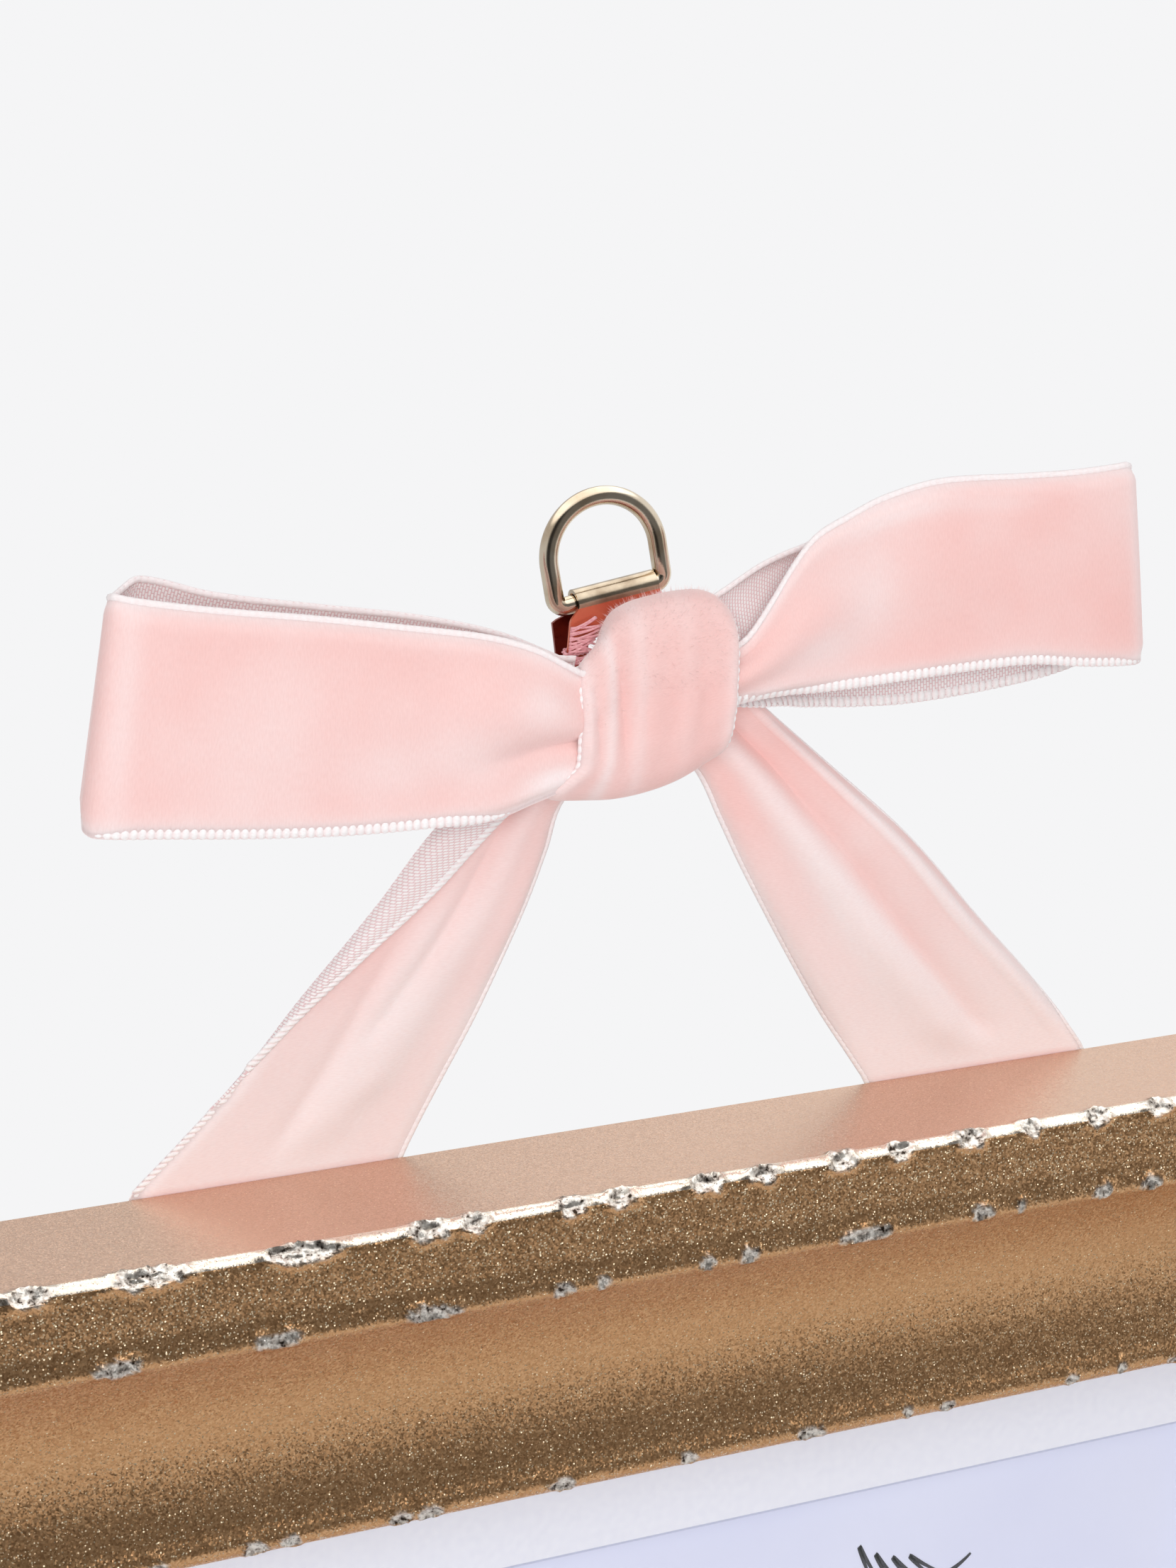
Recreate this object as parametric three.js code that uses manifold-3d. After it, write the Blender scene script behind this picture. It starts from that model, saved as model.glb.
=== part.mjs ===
// Hanging photo frame: a moulded frame that hangs from a velvet ribbon bow and a D-ring.
// Millimetres, X right, Y into the wall, Z up. The origin is the inside top of the D-ring.
import * as THREE from "three";
import { mergeVertices } from "three/addons/utils/BufferGeometryUtils.js";
import Module from "manifold-3d";

const wasm = await Module();
wasm.setup();

// Print, mat and moulding
const PRINT_WIDTH = 152;
const PRINT_HEIGHT = 203;
const PRINT_OVERLAP = 1;
const MAT_SHOWN = 12;
const MAT_BEVEL = 1.2;
const RAIL_FACE = 35.7;
const RAIL_DEPTH = 19.7;
const RAIL_BACK_Y = 4.5;
const EDGE_ROUND = 1.4;
const BAND_WIDTH = 6.9;
const RIDGE_WIDTH = 1.9;
const RIDGE_HEIGHT = 0.5;
const LIP_WIDTH = 3.4;
const LIP_HEIGHT = 1;
const LIP_RECESS = 5;
const SCOOP_DEPTH = 3.2;
const REBATE_WIDTH = 6;
const PACK_CLEARANCE = 0.6;
const LAYER_GAP = 0.1;
const MITRE_GAP = 0.05;

// Layers in the rebate
const GLASS_THICKNESS = 2;
const MAT_THICKNESS = 1.5;
const PRINT_THICKNESS = 0.3;
const FILLER_THICKNESS = 3;
const BACKING_THICKNESS = 3;

// Fixings on the back
const NAIL_ARM = 7;
const NAIL_SHEET = 0.8;
const NAIL_LENGTH = 7;
const NAIL_FROM_CORNER = 16;
const NAIL_HALF_ANGLE_DEG = 40;
const NAIL_SUNK = 0.4;
const NAIL_PLAY = 0.1;
const BUTTON_REACH = 15;
const BUTTON_WIDTH = 9;
const BUTTON_TIP = 6;
const BUTTON_THICKNESS = 1.2;
const BUTTON_INSET = 20;
const SCREW_SHANK = 2.6;
const SCREW_LENGTH = 9;
const SCREW_TIP = 2;
const SCREW_HEAD = 6.4;
const SCREW_HEAD_HEIGHT = 1.3;
const SCREW_CROWN = 4.1;
const SCREW_SLOT = 0.9;
const SCREW_SLOT_DEPTH = 0.6;
const SCREW_SLOT_LENGTH = 3.6;
const SCREW_PLAY = 0.15;
const PILOT_PLAY = 0.06;
const BUMPER_DIAMETER = 11;
const BUMPER_THICKNESS = 3.2;
const BUMPER_ROUND = 1;
const BUMPER_INSET = 13;
const BUMPER_FROM_SIDE = 42;
const STAPLE_CROWN = 12;
const STAPLE_WIRE = 0.7;
const STAPLE_LEG = 7;
const STAPLE_PLAY = 0.1;
const STAPLE_FIRST = 6;
const STAPLE_STEP = 7;

// Ring and strap. The ring stands tilted about Y, as the tied bow leaves it.
const RING_TILT_DEG = 9;
const RING_WIRE = 2;
const RING_WIDTH = 14.4;
const RING_SIDE = 3.3;
const RING_CORNER = 1.1;
const RING_SHIFT = -0.45;
const STRAP_END_PLAY = 0.15;
const STRAP_SHEET = 0.4;
const STRAP_PLAY = 0.15;
const STRAP_FRONT_LEAF = 10;
const STRAP_BACK_LEAF = 11.5;
const STRAP_HOLE_WIDTH = 2.6;
const STRAP_HOLE_BELOW = 3;
const STRAP_EDGE = 2.2;
const THREAD = 0.46;
const THREAD_LOOPS = 5;
const THREAD_PITCH = 0.98;
const THREAD_PLAY = 0.12;

// Ribbon
const RIBBON_WIDTH = 22;
const RIBBON_THICKNESS = 1;
const RIBBON_DROP = 70;
const RIBBON_REST_GAP = 0.1;
const FOLD_ABOVE_RAIL = 0.7;
const FOLD_GAP_UP = 0.3;
const FOLD_GAP_DOWN = 0.55;
const END_LENGTH = 20;
const END_SLANT = 0.92;
const TAIL_START = 22;
const TAIL_KNOT_GAP = 0.5;
const TAIL_FOLD = 0.9;

// Knot: an oval wrap round the gathered waist
const KNOT_LEFT = -7;
const KNOT_RIGHT = 11.6;
const KNOT_LEAN_LEFT = 0.8;
const KNOT_LEAN_RIGHT = 0.9;
const KNOT_DEPTH = 9.2;
const KNOT_THREAD_GAP = 0.25;
const KNOT_FOLD = 0.3;
const KNOT_FOLDS = 3;
const KNOT_SQUARE = 2.6;
const WAIST_GAP = 0.4;
const WAIST_SHORT = 1.2;
const LOOP_IN_MOUTH = 0.8;

// Loops: reach from the knot, depth in plan, and pleats at the knot
const LOOP_REACH_LEFT = 52;
const LOOP_REACH_RIGHT = 52.2;
const LOOP_BACK_SHORT_LEFT = 7;
const LOOP_BACK_SHORT_RIGHT = 1;
const LOOP_DEPTH_LEFT = 9.6;
const LOOP_DEPTH_RIGHT = 6.8;
const LOOP_MID_LEFT = -5.5;
const LOOP_MID_RIGHT = -4.2;
const LOOP_END_SLANT_LEFT = 1.85;
const LOOP_END_SLANT_RIGHT = -1.1;
const LOOP_PLEAT = 0.5;
const LOOP_PLEATS = 1.5;

// Hand-chosen curves, each a list of [share of the way, value]
const KNOT_TOP = [[0, -12.8], [0.25, -10.1], [0.5, -8.3], [0.78, -8.5], [1, -10.8]];
const KNOT_BOTTOM = [[0, -28.7], [0.3, -29.2], [0.65, -28.2], [1, -25.8]];
const LOOP_PLAN = [
  [0, 0.25], [0.05, 0.5], [0.12, 0.72], [0.2, 0.88], [0.4, 1],
  [0.65, 0.98], [0.88, 0.92], [0.97, 0.6], [1, 0],
];
const LEFT_FRONT = {
  middle: [
    [0, -19.7], [0.05, -20.6], [0.12, -20.8], [0.19, -20.3],
    [0.34, -19.5], [0.56, -17.9], [0.78, -16.7], [1, -15.4],
  ],
  open: [[0, 0.41], [0.05, 0.6], [0.12, 0.74], [0.19, 0.84], [0.34, 0.95], [0.56, 1], [1, 1]],
};
const LEFT_REAR = {
  middle: [
    [0, -19.7], [0.13, -19.6], [0.28, -18.9], [0.5, -17.8], [0.72, -16.3], [0.9, -15.3], [1, -15.4],
  ],
  open: [[0, 0.41], [0.13, 0.66], [0.28, 0.84], [0.5, 0.96], [0.72, 1], [1, 1]],
};
const RIGHT_FRONT = {
  middle: [[0, -18.2], [0.06, -17.3], [0.13, -15.1], [0.22, -13.1], [0.39, -11.2], [0.54, -9.9], [1, -9.9]],
  open: [[0, 0.31], [0.06, 0.35], [0.13, 0.53], [0.22, 0.72], [0.39, 0.9], [0.54, 0.98], [1, 0.99]],
};
const RIGHT_REAR = {
  middle: [
    [0, -18.6], [0.03, -17.4], [0.07, -15.3], [0.12, -14.4], [0.24, -13.9],
    [0.44, -12.3], [0.6, -11.6], [0.78, -11.3], [1, -9.9],
  ],
  open: [[0, 0.25], [0.03, 0.42], [0.07, 0.64], [0.12, 0.71], [0.24, 0.8], [0.44, 1], [0.78, 1], [1, 0.99]],
};
const LEFT_TAIL = {
  left: [
    [0, -6], [0.1, -12.8], [0.22, -19.8], [0.38, -25.8], [0.57, -33.2],
    [0.76, -40.2], [0.91, -47.2], [1, -51.9],
  ],
  right: [
    [0, 3.5], [0.1, -1.5], [0.2, -6.2], [0.3, -8.1], [0.47, -10.6], [0.67, -13.9], [0.84, -17.6], [1, -21.7],
  ],
  fold: 0.5,
  side: -1,
};
const RIGHT_TAIL = {
  left: [
    [0, 5], [0.08, 7.5], [0.17, 10.8], [0.28, 13.2], [0.43, 16.6], [0.67, 23], [0.85, 28.9], [1, 34.5],
  ],
  right: [[0, 15.8], [0.18, 24.1], [0.4, 33.7], [0.63, 44.3], [0.84, 55], [1, 62.5]],
  fold: 0.72,
  side: 1,
};

// Sizes that follow from the ones above
const WINDOW_WIDTH = PRINT_WIDTH - 2 * PRINT_OVERLAP;
const WINDOW_HEIGHT = PRINT_HEIGHT - 2 * PRINT_OVERLAP;
const HALF_WIDTH = WINDOW_WIDTH / 2 + MAT_SHOWN + RAIL_FACE;
const HALF_HEIGHT = WINDOW_HEIGHT / 2 + MAT_SHOWN + RAIL_FACE;
const TOP_Z = -RIBBON_DROP;
const MID_Z = TOP_Z - HALF_HEIGHT;
const LAYERS = [GLASS_THICKNESS, MAT_THICKNESS, PRINT_THICKNESS, FILLER_THICKNESS, BACKING_THICKNESS];
const REBATE_DEPTH = LAYERS.reduce((sum, t) => sum + t + LAYER_GAP, LAYER_GAP);
const PACK_EDGE = RAIL_FACE - REBATE_WIDTH + PACK_CLEARANCE;
const BUTTON_Y = RAIL_BACK_Y + LAYER_GAP;
const SCREW_SEAT_Y = BUTTON_Y + BUTTON_THICKNESS + LAYER_GAP;
const RIBBON_Y = RAIL_BACK_Y + RIBBON_REST_GAP + RIBBON_THICKNESS / 2;
const FOLD_Z = TOP_Z + FOLD_ABOVE_RAIL;
const END_Z = FOLD_Z - FOLD_GAP_DOWN;
const STAPLE_Y = RIBBON_Y + RIBBON_THICKNESS / 2 + RIBBON_REST_GAP;
const RING_TILT = THREE.MathUtils.degToRad(RING_TILT_DEG);
const RING_RADIUS = (RING_WIDTH - RING_WIRE) / 2;
const RING_ARC_V = RING_CORNER + RING_SIDE;
const STRAP_WIDTH = 2 * (RING_RADIUS - RING_WIRE / 2 - Math.abs(RING_SHIFT) - STRAP_END_PLAY);
const STRAP_INNER = RING_WIRE / 2 + STRAP_PLAY;
const STRAP_OUTER = STRAP_INNER + STRAP_SHEET;
const THREAD_OFFSET = THREAD / 2 + THREAD_PLAY;
const KNOT_BACK_Y = -(STRAP_OUTER + THREAD_OFFSET + THREAD / 2 + KNOT_THREAD_GAP);
const KNOT_MID_Y = KNOT_BACK_Y - KNOT_DEPTH / 2;
const TAIL_TOP_Y = KNOT_BACK_Y + TAIL_KNOT_GAP + RIBBON_THICKNESS / 2;
const MOUTH_LEFT = KNOT_LEFT - KNOT_LEAN_LEFT / 2;
const MOUTH_RIGHT = KNOT_RIGHT - KNOT_LEAN_RIGHT / 2;
const LOOP_START_LEFT = MOUTH_LEFT + LOOP_IN_MOUTH;
const LOOP_START_RIGHT = MOUTH_RIGHT - LOOP_IN_MOUTH;

const v2 = (x, y) => new THREE.Vector2(x, y);
const v3 = (x, y, z) => new THREE.Vector3(x, y, z);
const lerp = (a, b, t) => a + (b - a) * t;
const smooth = (t) => THREE.MathUtils.smoothstep(t, 0, 1);

// A smooth curve through hand-chosen [share, value] pairs
function through(pairs, at) {
  let i = 0;
  while (i < pairs.length - 2 && at > pairs[i + 1][0]) i += 1;
  const slope = (k) => {
    const a = pairs[Math.max(k - 1, 0)];
    const b = pairs[Math.min(k + 1, pairs.length - 1)];
    return (b[1] - a[1]) / (b[0] - a[0]);
  };
  const [x0, y0] = pairs[i];
  const [x1, y1] = pairs[i + 1];
  const h = x1 - x0;
  const t = THREE.MathUtils.clamp((at - x0) / h, 0, 1);
  const leave = slope(i) * h * t * (1 - t) * (1 - t);
  const arrive = slope(i + 1) * h * t * t * (t - 1);
  return lerp(y0, y1, smooth(t)) + leave + arrive;
}

// Turns a mesh the right way out: a closed mesh that faces out has a positive volume.
function facingOut(geometry) {
  const g = geometry.clone();
  g.deleteAttribute("normal");
  g.deleteAttribute("uv");
  const m = mergeVertices(g, 1e-4);
  const p = m.attributes.position;
  const index = Array.from(m.index.array);
  const [a, b, c] = [v3(0, 0, 0), v3(0, 0, 0), v3(0, 0, 0)];
  let volume = 0;
  for (let i = 0; i < index.length; i += 3) {
    a.fromBufferAttribute(p, index[i]);
    b.fromBufferAttribute(p, index[i + 1]);
    c.fromBufferAttribute(p, index[i + 2]);
    volume += a.dot(b.cross(c));
  }
  if (volume < 0) {
    m.setIndex(index.reverse());
  }
  return m;
}

function solid(points, triangles) {
  const g = new THREE.BufferGeometry();
  const flat = points.flatMap((p) => [p.x, p.y, p.z]);
  g.setAttribute("position", new THREE.Float32BufferAttribute(flat, 3));
  g.setIndex(triangles.flat());
  return facingOut(g);
}

function toManifold(geometry) {
  const g = facingOut(geometry);
  const vertProperties = new Float32Array(g.attributes.position.array);
  const triVerts = new Uint32Array(g.index.array);
  return new wasm.Manifold(new wasm.Mesh({ numProp: 3, vertProperties, triVerts }));
}

function cut(geometry, tools) {
  let body = toManifold(geometry);
  for (const tool of tools) body = body.subtract(toManifold(tool));
  const mesh = body.getMesh();
  const g = new THREE.BufferGeometry();
  g.setAttribute("position", new THREE.Float32BufferAttribute(mesh.vertProperties, 3));
  g.setIndex(Array.from(mesh.triVerts));
  return g;
}

function box(x0, x1, y0, y1, z0, z1) {
  const g = new THREE.BoxGeometry(x1 - x0, y1 - y0, z1 - z0);
  return g.translate((x0 + x1) / 2, (y0 + y1) / 2, (z0 + z1) / 2);
}

// A post along Y
function post(radius, x, z, y0, y1) {
  const g = new THREE.CylinderGeometry(radius, radius, y1 - y0, 16);
  return g.translate(x, (y0 + y1) / 2, z);
}

// A flat outline in X and Z that is thick along Y
function plate(outline, y0, y1, holes = []) {
  const shape = new THREE.Shape(outline);
  shape.holes = holes.map((hole) => new THREE.Path(hole));
  const g = new THREE.ExtrudeGeometry(shape, { depth: y1 - y0, bevelEnabled: false });
  return g.rotateX(Math.PI / 2).translate(0, y1, 0);
}

function circle(radius, x, z, count) {
  return Array.from({ length: count }, (_, k) => {
    const turn = (k / count) * 2 * Math.PI;
    return v2(x + radius * Math.cos(turn), z + radius * Math.sin(turn));
  });
}

// A thick sheet: a grid of points, given a thickness along its own normals
function sheet(rows, columns, pointAt, thickness) {
  const grid = [];
  for (let i = 0; i <= rows; i += 1) {
    for (let j = 0; j <= columns; j += 1) grid.push(pointAt(i / rows, j / columns));
  }
  const at = (i, j) => i * (columns + 1) + j;
  const clampRow = (i) => THREE.MathUtils.clamp(i, 0, rows);
  const clampColumn = (j) => THREE.MathUtils.clamp(j, 0, columns);
  const points = [];
  for (const side of [0.5, -0.5]) {
    for (let i = 0; i <= rows; i += 1) {
      for (let j = 0; j <= columns; j += 1) {
        const along = grid[at(clampRow(i + 1), j)].clone().sub(grid[at(clampRow(i - 1), j)]);
        const across = grid[at(i, clampColumn(j + 1))].clone().sub(grid[at(i, clampColumn(j - 1))]);
        const normal = along.cross(across).normalize();
        points.push(grid[at(i, j)].clone().addScaledVector(normal, side * thickness));
      }
    }
  }
  const back = grid.length;
  const triangles = [];
  const quad = (a, b, c, d) => triangles.push([a, b, c], [a, c, d]);
  for (let i = 0; i < rows; i += 1) {
    for (let j = 0; j < columns; j += 1) {
      quad(at(i, j), at(i + 1, j), at(i + 1, j + 1), at(i, j + 1));
      quad(back + at(i, j), back + at(i, j + 1), back + at(i + 1, j + 1), back + at(i + 1, j));
    }
  }
  for (let i = 0; i < rows; i += 1) {
    quad(at(i, 0), back + at(i, 0), back + at(i + 1, 0), at(i + 1, 0));
    quad(at(i, columns), at(i + 1, columns), back + at(i + 1, columns), back + at(i, columns));
  }
  for (let j = 0; j < columns; j += 1) {
    quad(at(0, j), at(0, j + 1), back + at(0, j + 1), back + at(0, j));
    quad(at(rows, j), back + at(rows, j), back + at(rows, j + 1), at(rows, j + 1));
  }
  return solid(points, triangles);
}

const group = new THREE.Group();

function add(name, geometry, look) {
  const [colour, roughness, metalness] = look;
  const material = new THREE.MeshStandardMaterial({ color: colour, roughness, metalness });
  const g = facingOut(geometry);
  g.computeVertexNormals();
  const mesh = new THREE.Mesh(g, material);
  mesh.name = name;
  group.add(mesh);
}

const CHAMPAGNE = [0xb08f6b, 0.45, 0.6];
const VELVET = [0xf3cdc8, 0.9, 0];
const NICKEL = [0xc9b28c, 0.2, 1];
const STEEL = [0xb8b8b8, 0.35, 1];
const BRASS = [0xb99a5a, 0.35, 1];
const GLASS = [0xdfe8ea, 0.05, 0];
const MAT = [0xe6e7f0, 0.9, 0];
const PRINT = [0xdddef4, 0.8, 0];
const CARD = [0xb08d62, 0.95, 0];
const BOARD = [0x6b4f38, 0.9, 0];
const RUBBER = [0x3a3a3a, 0.9, 0];
const THREAD_PINK = [0xe39a9f, 0.8, 0];

// The moulding's section: distance in from the outer edge, height forward of the back
function mouldingSection() {
  const points = [v2(0, 0), v2(RAIL_FACE - REBATE_WIDTH, 0)];
  points.push(v2(RAIL_FACE - REBATE_WIDTH, REBATE_DEPTH), v2(RAIL_FACE, REBATE_DEPTH));
  const bead = (from, to, base, height, steps) => {
    for (let k = 0; k <= steps; k += 1) {
      const turn = (k / steps) * Math.PI;
      points.push(v2((from + to) / 2 + ((from - to) / 2) * Math.cos(turn), base + height * Math.sin(turn)));
    }
  };
  const lipBase = RAIL_DEPTH - LIP_RECESS - LIP_HEIGHT;
  const lipStart = RAIL_FACE - LIP_WIDTH;
  const ridgeStart = EDGE_ROUND + BAND_WIDTH;
  const ridgeEnd = ridgeStart + RIDGE_WIDTH;
  bead(RAIL_FACE, lipStart, lipBase, LIP_HEIGHT, 6);
  const scoopSteps = 10;
  for (let k = 1; k < scoopSteps; k += 1) {
    const t = k / scoopSteps;
    const chord = lerp(lipBase, RAIL_DEPTH, t);
    points.push(v2(lerp(lipStart, ridgeEnd, t), chord - SCOOP_DEPTH * 4 * t * (1 - t)));
  }
  bead(ridgeEnd, ridgeStart, RAIL_DEPTH, RIDGE_HEIGHT, 4);
  const edgeSteps = 4;
  for (let k = 0; k <= edgeSteps; k += 1) {
    const turn = ((k / edgeSteps) * Math.PI) / 2;
    const d = EDGE_ROUND * (1 - Math.sin(turn));
    points.push(v2(d, RAIL_DEPTH - EDGE_ROUND * (1 - Math.cos(turn))));
  }
  return points;
}

// One mitred rail, from the middle of its outer edge, the way in and its half length
function rail(middle, inward, along, half) {
  const section = mouldingSection();
  const forward = v3(0, -1, 0);
  const points = [];
  for (const end of [-1, 1]) {
    for (const { x: d, y: h } of section) {
      const reach = end * (half - d - MITRE_GAP);
      const p = middle.clone().addScaledVector(inward, d).addScaledVector(forward, h);
      points.push(p.addScaledVector(along, reach));
    }
  }
  const n = section.length;
  const triangles = [];
  for (let k = 0; k < n; k += 1) {
    const next = (k + 1) % n;
    triangles.push([k, next, n + next], [k, n + next, n + k]);
  }
  for (const [a, b, c] of THREE.ShapeUtils.triangulateShape(section, [])) {
    triangles.push([n + a, n + b, n + c], [c, b, a]);
  }
  return solid(points, triangles);
}

// Corner nails: a folded strip across each mitre, and the slot that it is driven into
function cornerNail(sideX, sideZ, play) {
  const corner = v2(sideX * HALF_WIDTH, MID_Z + sideZ * HALF_HEIGHT);
  const inward = v2(-sideX, -sideZ).normalize();
  const across = v2(-inward.y, inward.x);
  const half = THREE.MathUtils.degToRad(NAIL_HALF_ANGLE_DEG);
  const at = (a, b) => corner.clone().addScaledVector(inward, a).addScaledVector(across, b);
  const thick = NAIL_SHEET / 2 + play;
  const arm = NAIL_ARM + play;
  const point = thick / Math.sin(half);
  const alongArm = (s, side) => [s * Math.cos(half) + side * thick * Math.sin(half),
    s * Math.sin(half) - side * thick * Math.cos(half)];
  const [oa, ob] = alongArm(arm, -1);
  const [ia, ib] = alongArm(arm, 1);
  const a0 = NAIL_FROM_CORNER;
  const outline = [at(a0 - point, 0), at(a0 + oa, -ob), at(a0 + ia, -ib)];
  outline.push(at(a0 + point, 0), at(a0 + ia, ib), at(a0 + oa, ob));
  const y1 = RAIL_BACK_Y - NAIL_SUNK;
  return plate(outline, y1 - NAIL_LENGTH - play, play ? RAIL_BACK_Y + 1 : y1);
}

const corners = [["top_left", -1, 1], ["top_right", 1, 1], ["bottom_left", -1, -1], ["bottom_right", 1, -1]];
const nailSlots = corners.map(([, sx, sz]) => cornerNail(sx, sz, NAIL_PLAY));

// Rails: name, the way in, the way along, half length
const rails = [
  ["top", v3(0, 0, -1), v3(1, 0, 0), HALF_WIDTH, HALF_HEIGHT],
  ["bottom", v3(0, 0, 1), v3(1, 0, 0), HALF_WIDTH, HALF_HEIGHT],
  ["left", v3(1, 0, 0), v3(0, 0, 1), HALF_HEIGHT, HALF_WIDTH],
  ["right", v3(-1, 0, 0), v3(0, 0, 1), HALF_HEIGHT, HALF_WIDTH],
];
const frameMiddle = v3(0, RAIL_BACK_Y, MID_Z);

// Ribbon edges at the fold over the rail, and the laid ends behind it
function tailEdges(tail, t) {
  return [through(tail.left, t), through(tail.right, t)];
}

function endStaples(tail) {
  const [left, right] = tailEdges(tail, 1);
  return [0, 1].map((k) => {
    const below = STAPLE_FIRST + k * STAPLE_STEP;
    return v2((left + right) / 2 + tail.side * END_SLANT * below, END_Z - below);
  });
}

function stapleLegs(place, play) {
  const legs = [];
  for (const side of [-1, 1]) {
    const x = place.x + side * (STAPLE_CROWN / 2 - STAPLE_WIRE / 2);
    const half = STAPLE_WIRE / 2 + play;
    legs.push([x - half, x + half, place.y - half, place.y + half]);
  }
  return legs;
}

for (const [name, inward, along, half, reach] of rails) {
  const middle = frameMiddle.clone().addScaledVector(inward, -reach);
  const pivot = middle.clone().addScaledVector(inward, BUTTON_INSET);
  const pilotEnd = SCREW_SEAT_Y - SCREW_LENGTH - PILOT_PLAY;
  const tools = [...nailSlots];
  tools.push(post(SCREW_SHANK / 2 + PILOT_PLAY, pivot.x, pivot.z, pilotEnd, RAIL_BACK_Y + 1));
  if (name === "top") {
    const legEnd = STAPLE_Y + STAPLE_WIRE - STAPLE_LEG - STAPLE_PLAY;
    for (const place of [...endStaples(LEFT_TAIL), ...endStaples(RIGHT_TAIL)]) {
      for (const [x0, x1, z0, z1] of stapleLegs(place, STAPLE_PLAY)) {
        tools.push(box(x0, x1, legEnd, RAIL_BACK_Y + 1, z0, z1));
      }
    }
  }
  add(`rail_${name}`, cut(rail(middle, inward, along, half), tools), CHAMPAGNE);

  // Turn button: round at its screw, narrower at its tip
  const round = BUTTON_WIDTH / 2;
  const tip = BUTTON_TIP / 2;
  const outline = [];
  for (let k = 0; k <= 10; k += 1) {
    const turn = Math.PI / 2 + (k / 10) * Math.PI;
    outline.push([round * Math.cos(turn), round * Math.sin(turn)]);
  }
  for (let k = 0; k <= 8; k += 1) {
    const turn = -Math.PI / 2 + (k / 8) * Math.PI;
    outline.push([BUTTON_REACH - tip + tip * Math.cos(turn), tip * Math.sin(turn)]);
  }
  const side = v2(-inward.z, inward.x);
  const placed = outline.map(([a, b]) => {
    return v2(pivot.x + inward.x * a + side.x * b, pivot.z + inward.z * a + side.y * b);
  });
  const bore = circle(SCREW_SHANK / 2 + SCREW_PLAY, pivot.x, pivot.z, 16);
  add(`turn_button_${name}`, plate(placed, BUTTON_Y, BUTTON_Y + BUTTON_THICKNESS, [bore]), BRASS);

  // Screw with a crossed slot
  const r = SCREW_SHANK / 2;
  const headTop = SCREW_SEAT_Y + SCREW_HEAD_HEIGHT;
  const turned = [v2(0, SCREW_SEAT_Y - SCREW_LENGTH), v2(r, SCREW_SEAT_Y - SCREW_LENGTH + SCREW_TIP)];
  turned.push(v2(r, SCREW_SEAT_Y), v2(SCREW_HEAD / 2, SCREW_SEAT_Y));
  turned.push(v2(SCREW_HEAD / 2, headTop - SCREW_HEAD_HEIGHT / 2));
  turned.push(v2(SCREW_CROWN / 2, headTop), v2(0, headTop));
  const screw = new THREE.LatheGeometry(turned, 16).translate(pivot.x, 0, pivot.z);
  const slotFloor = headTop - SCREW_SLOT_DEPTH;
  const slots = [[SCREW_SLOT_LENGTH, SCREW_SLOT], [SCREW_SLOT, SCREW_SLOT_LENGTH]].map(([w, h]) => {
    return box(pivot.x - w / 2, pivot.x + w / 2, slotFloor, headTop + 1, pivot.z - h / 2, pivot.z + h / 2);
  });
  add(`button_screw_${name}`, cut(screw, slots), STEEL);
}

for (const [name, sx, sz] of corners) add(`corner_nail_${name}`, cornerNail(sx, sz, 0), STEEL);

// Glass, mat, print, filler card and backing board, from front to back
const packX = HALF_WIDTH - PACK_EDGE;
const packZ = HALF_HEIGHT - PACK_EDGE;
let layerY = RAIL_BACK_Y - REBATE_DEPTH + LAYER_GAP;
function layer(thickness) {
  const y0 = layerY;
  layerY += thickness + LAYER_GAP;
  return box(-packX, packX, y0, y0 + thickness, MID_Z - packZ, MID_Z + packZ);
}
add("glass", layer(GLASS_THICKNESS), GLASS);

// The mat's window opens wider towards the glass
const matY = layerY;
const matBlank = layer(MAT_THICKNESS);
const windowPoints = [];
for (const [y, grow] of [[matY - 1, MAT_BEVEL], [matY, MAT_BEVEL], [layerY, 0]]) {
  const [w, h] = [WINDOW_WIDTH / 2 + grow, WINDOW_HEIGHT / 2 + grow];
  for (const [sx, sz] of [[-1, -1], [1, -1], [1, 1], [-1, 1]]) {
    windowPoints.push(v3(sx * w, y, MID_Z + sz * h));
  }
}
const windowSides = [];
for (const ring of [0, 4]) {
  for (let k = 0; k < 4; k += 1) {
    const [a, b] = [ring + k, ring + ((k + 1) % 4)];
    windowSides.push([a, b, b + 4], [a, b + 4, a + 4]);
  }
}
windowSides.push([0, 2, 1], [0, 3, 2], [8, 9, 10], [8, 10, 11]);
add("mat_board", cut(matBlank, [solid(windowPoints, windowSides)]), MAT);

const printY = layerY;
layerY += PRINT_THICKNESS + LAYER_GAP;
const print = new THREE.BoxGeometry(PRINT_WIDTH, PRINT_THICKNESS, PRINT_HEIGHT);
add("photo_print", print.translate(0, printY + PRINT_THICKNESS / 2, MID_Z), PRINT);
add("filler_card", layer(FILLER_THICKNESS), CARD);
add("backing_board", layer(BACKING_THICKNESS), BOARD);

// Wall bumpers
for (const [name, side] of [["left", -1], ["right", 1]]) {
  const r = BUMPER_DIAMETER / 2;
  const y0 = RAIL_BACK_Y + LAYER_GAP / 2;
  const y1 = y0 + BUMPER_THICKNESS;
  const turned = [v2(0, y0), v2(r, y0), v2(r, y1 - BUMPER_ROUND), v2(r - BUMPER_ROUND, y1), v2(0, y1)];
  const bumper = new THREE.LatheGeometry(turned, 24);
  bumper.translate(side * (HALF_WIDTH - BUMPER_FROM_SIDE), 0, MID_Z - HALF_HEIGHT + BUMPER_INSET);
  add(`wall_bumper_${name}`, bumper, RUBBER);
}

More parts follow.
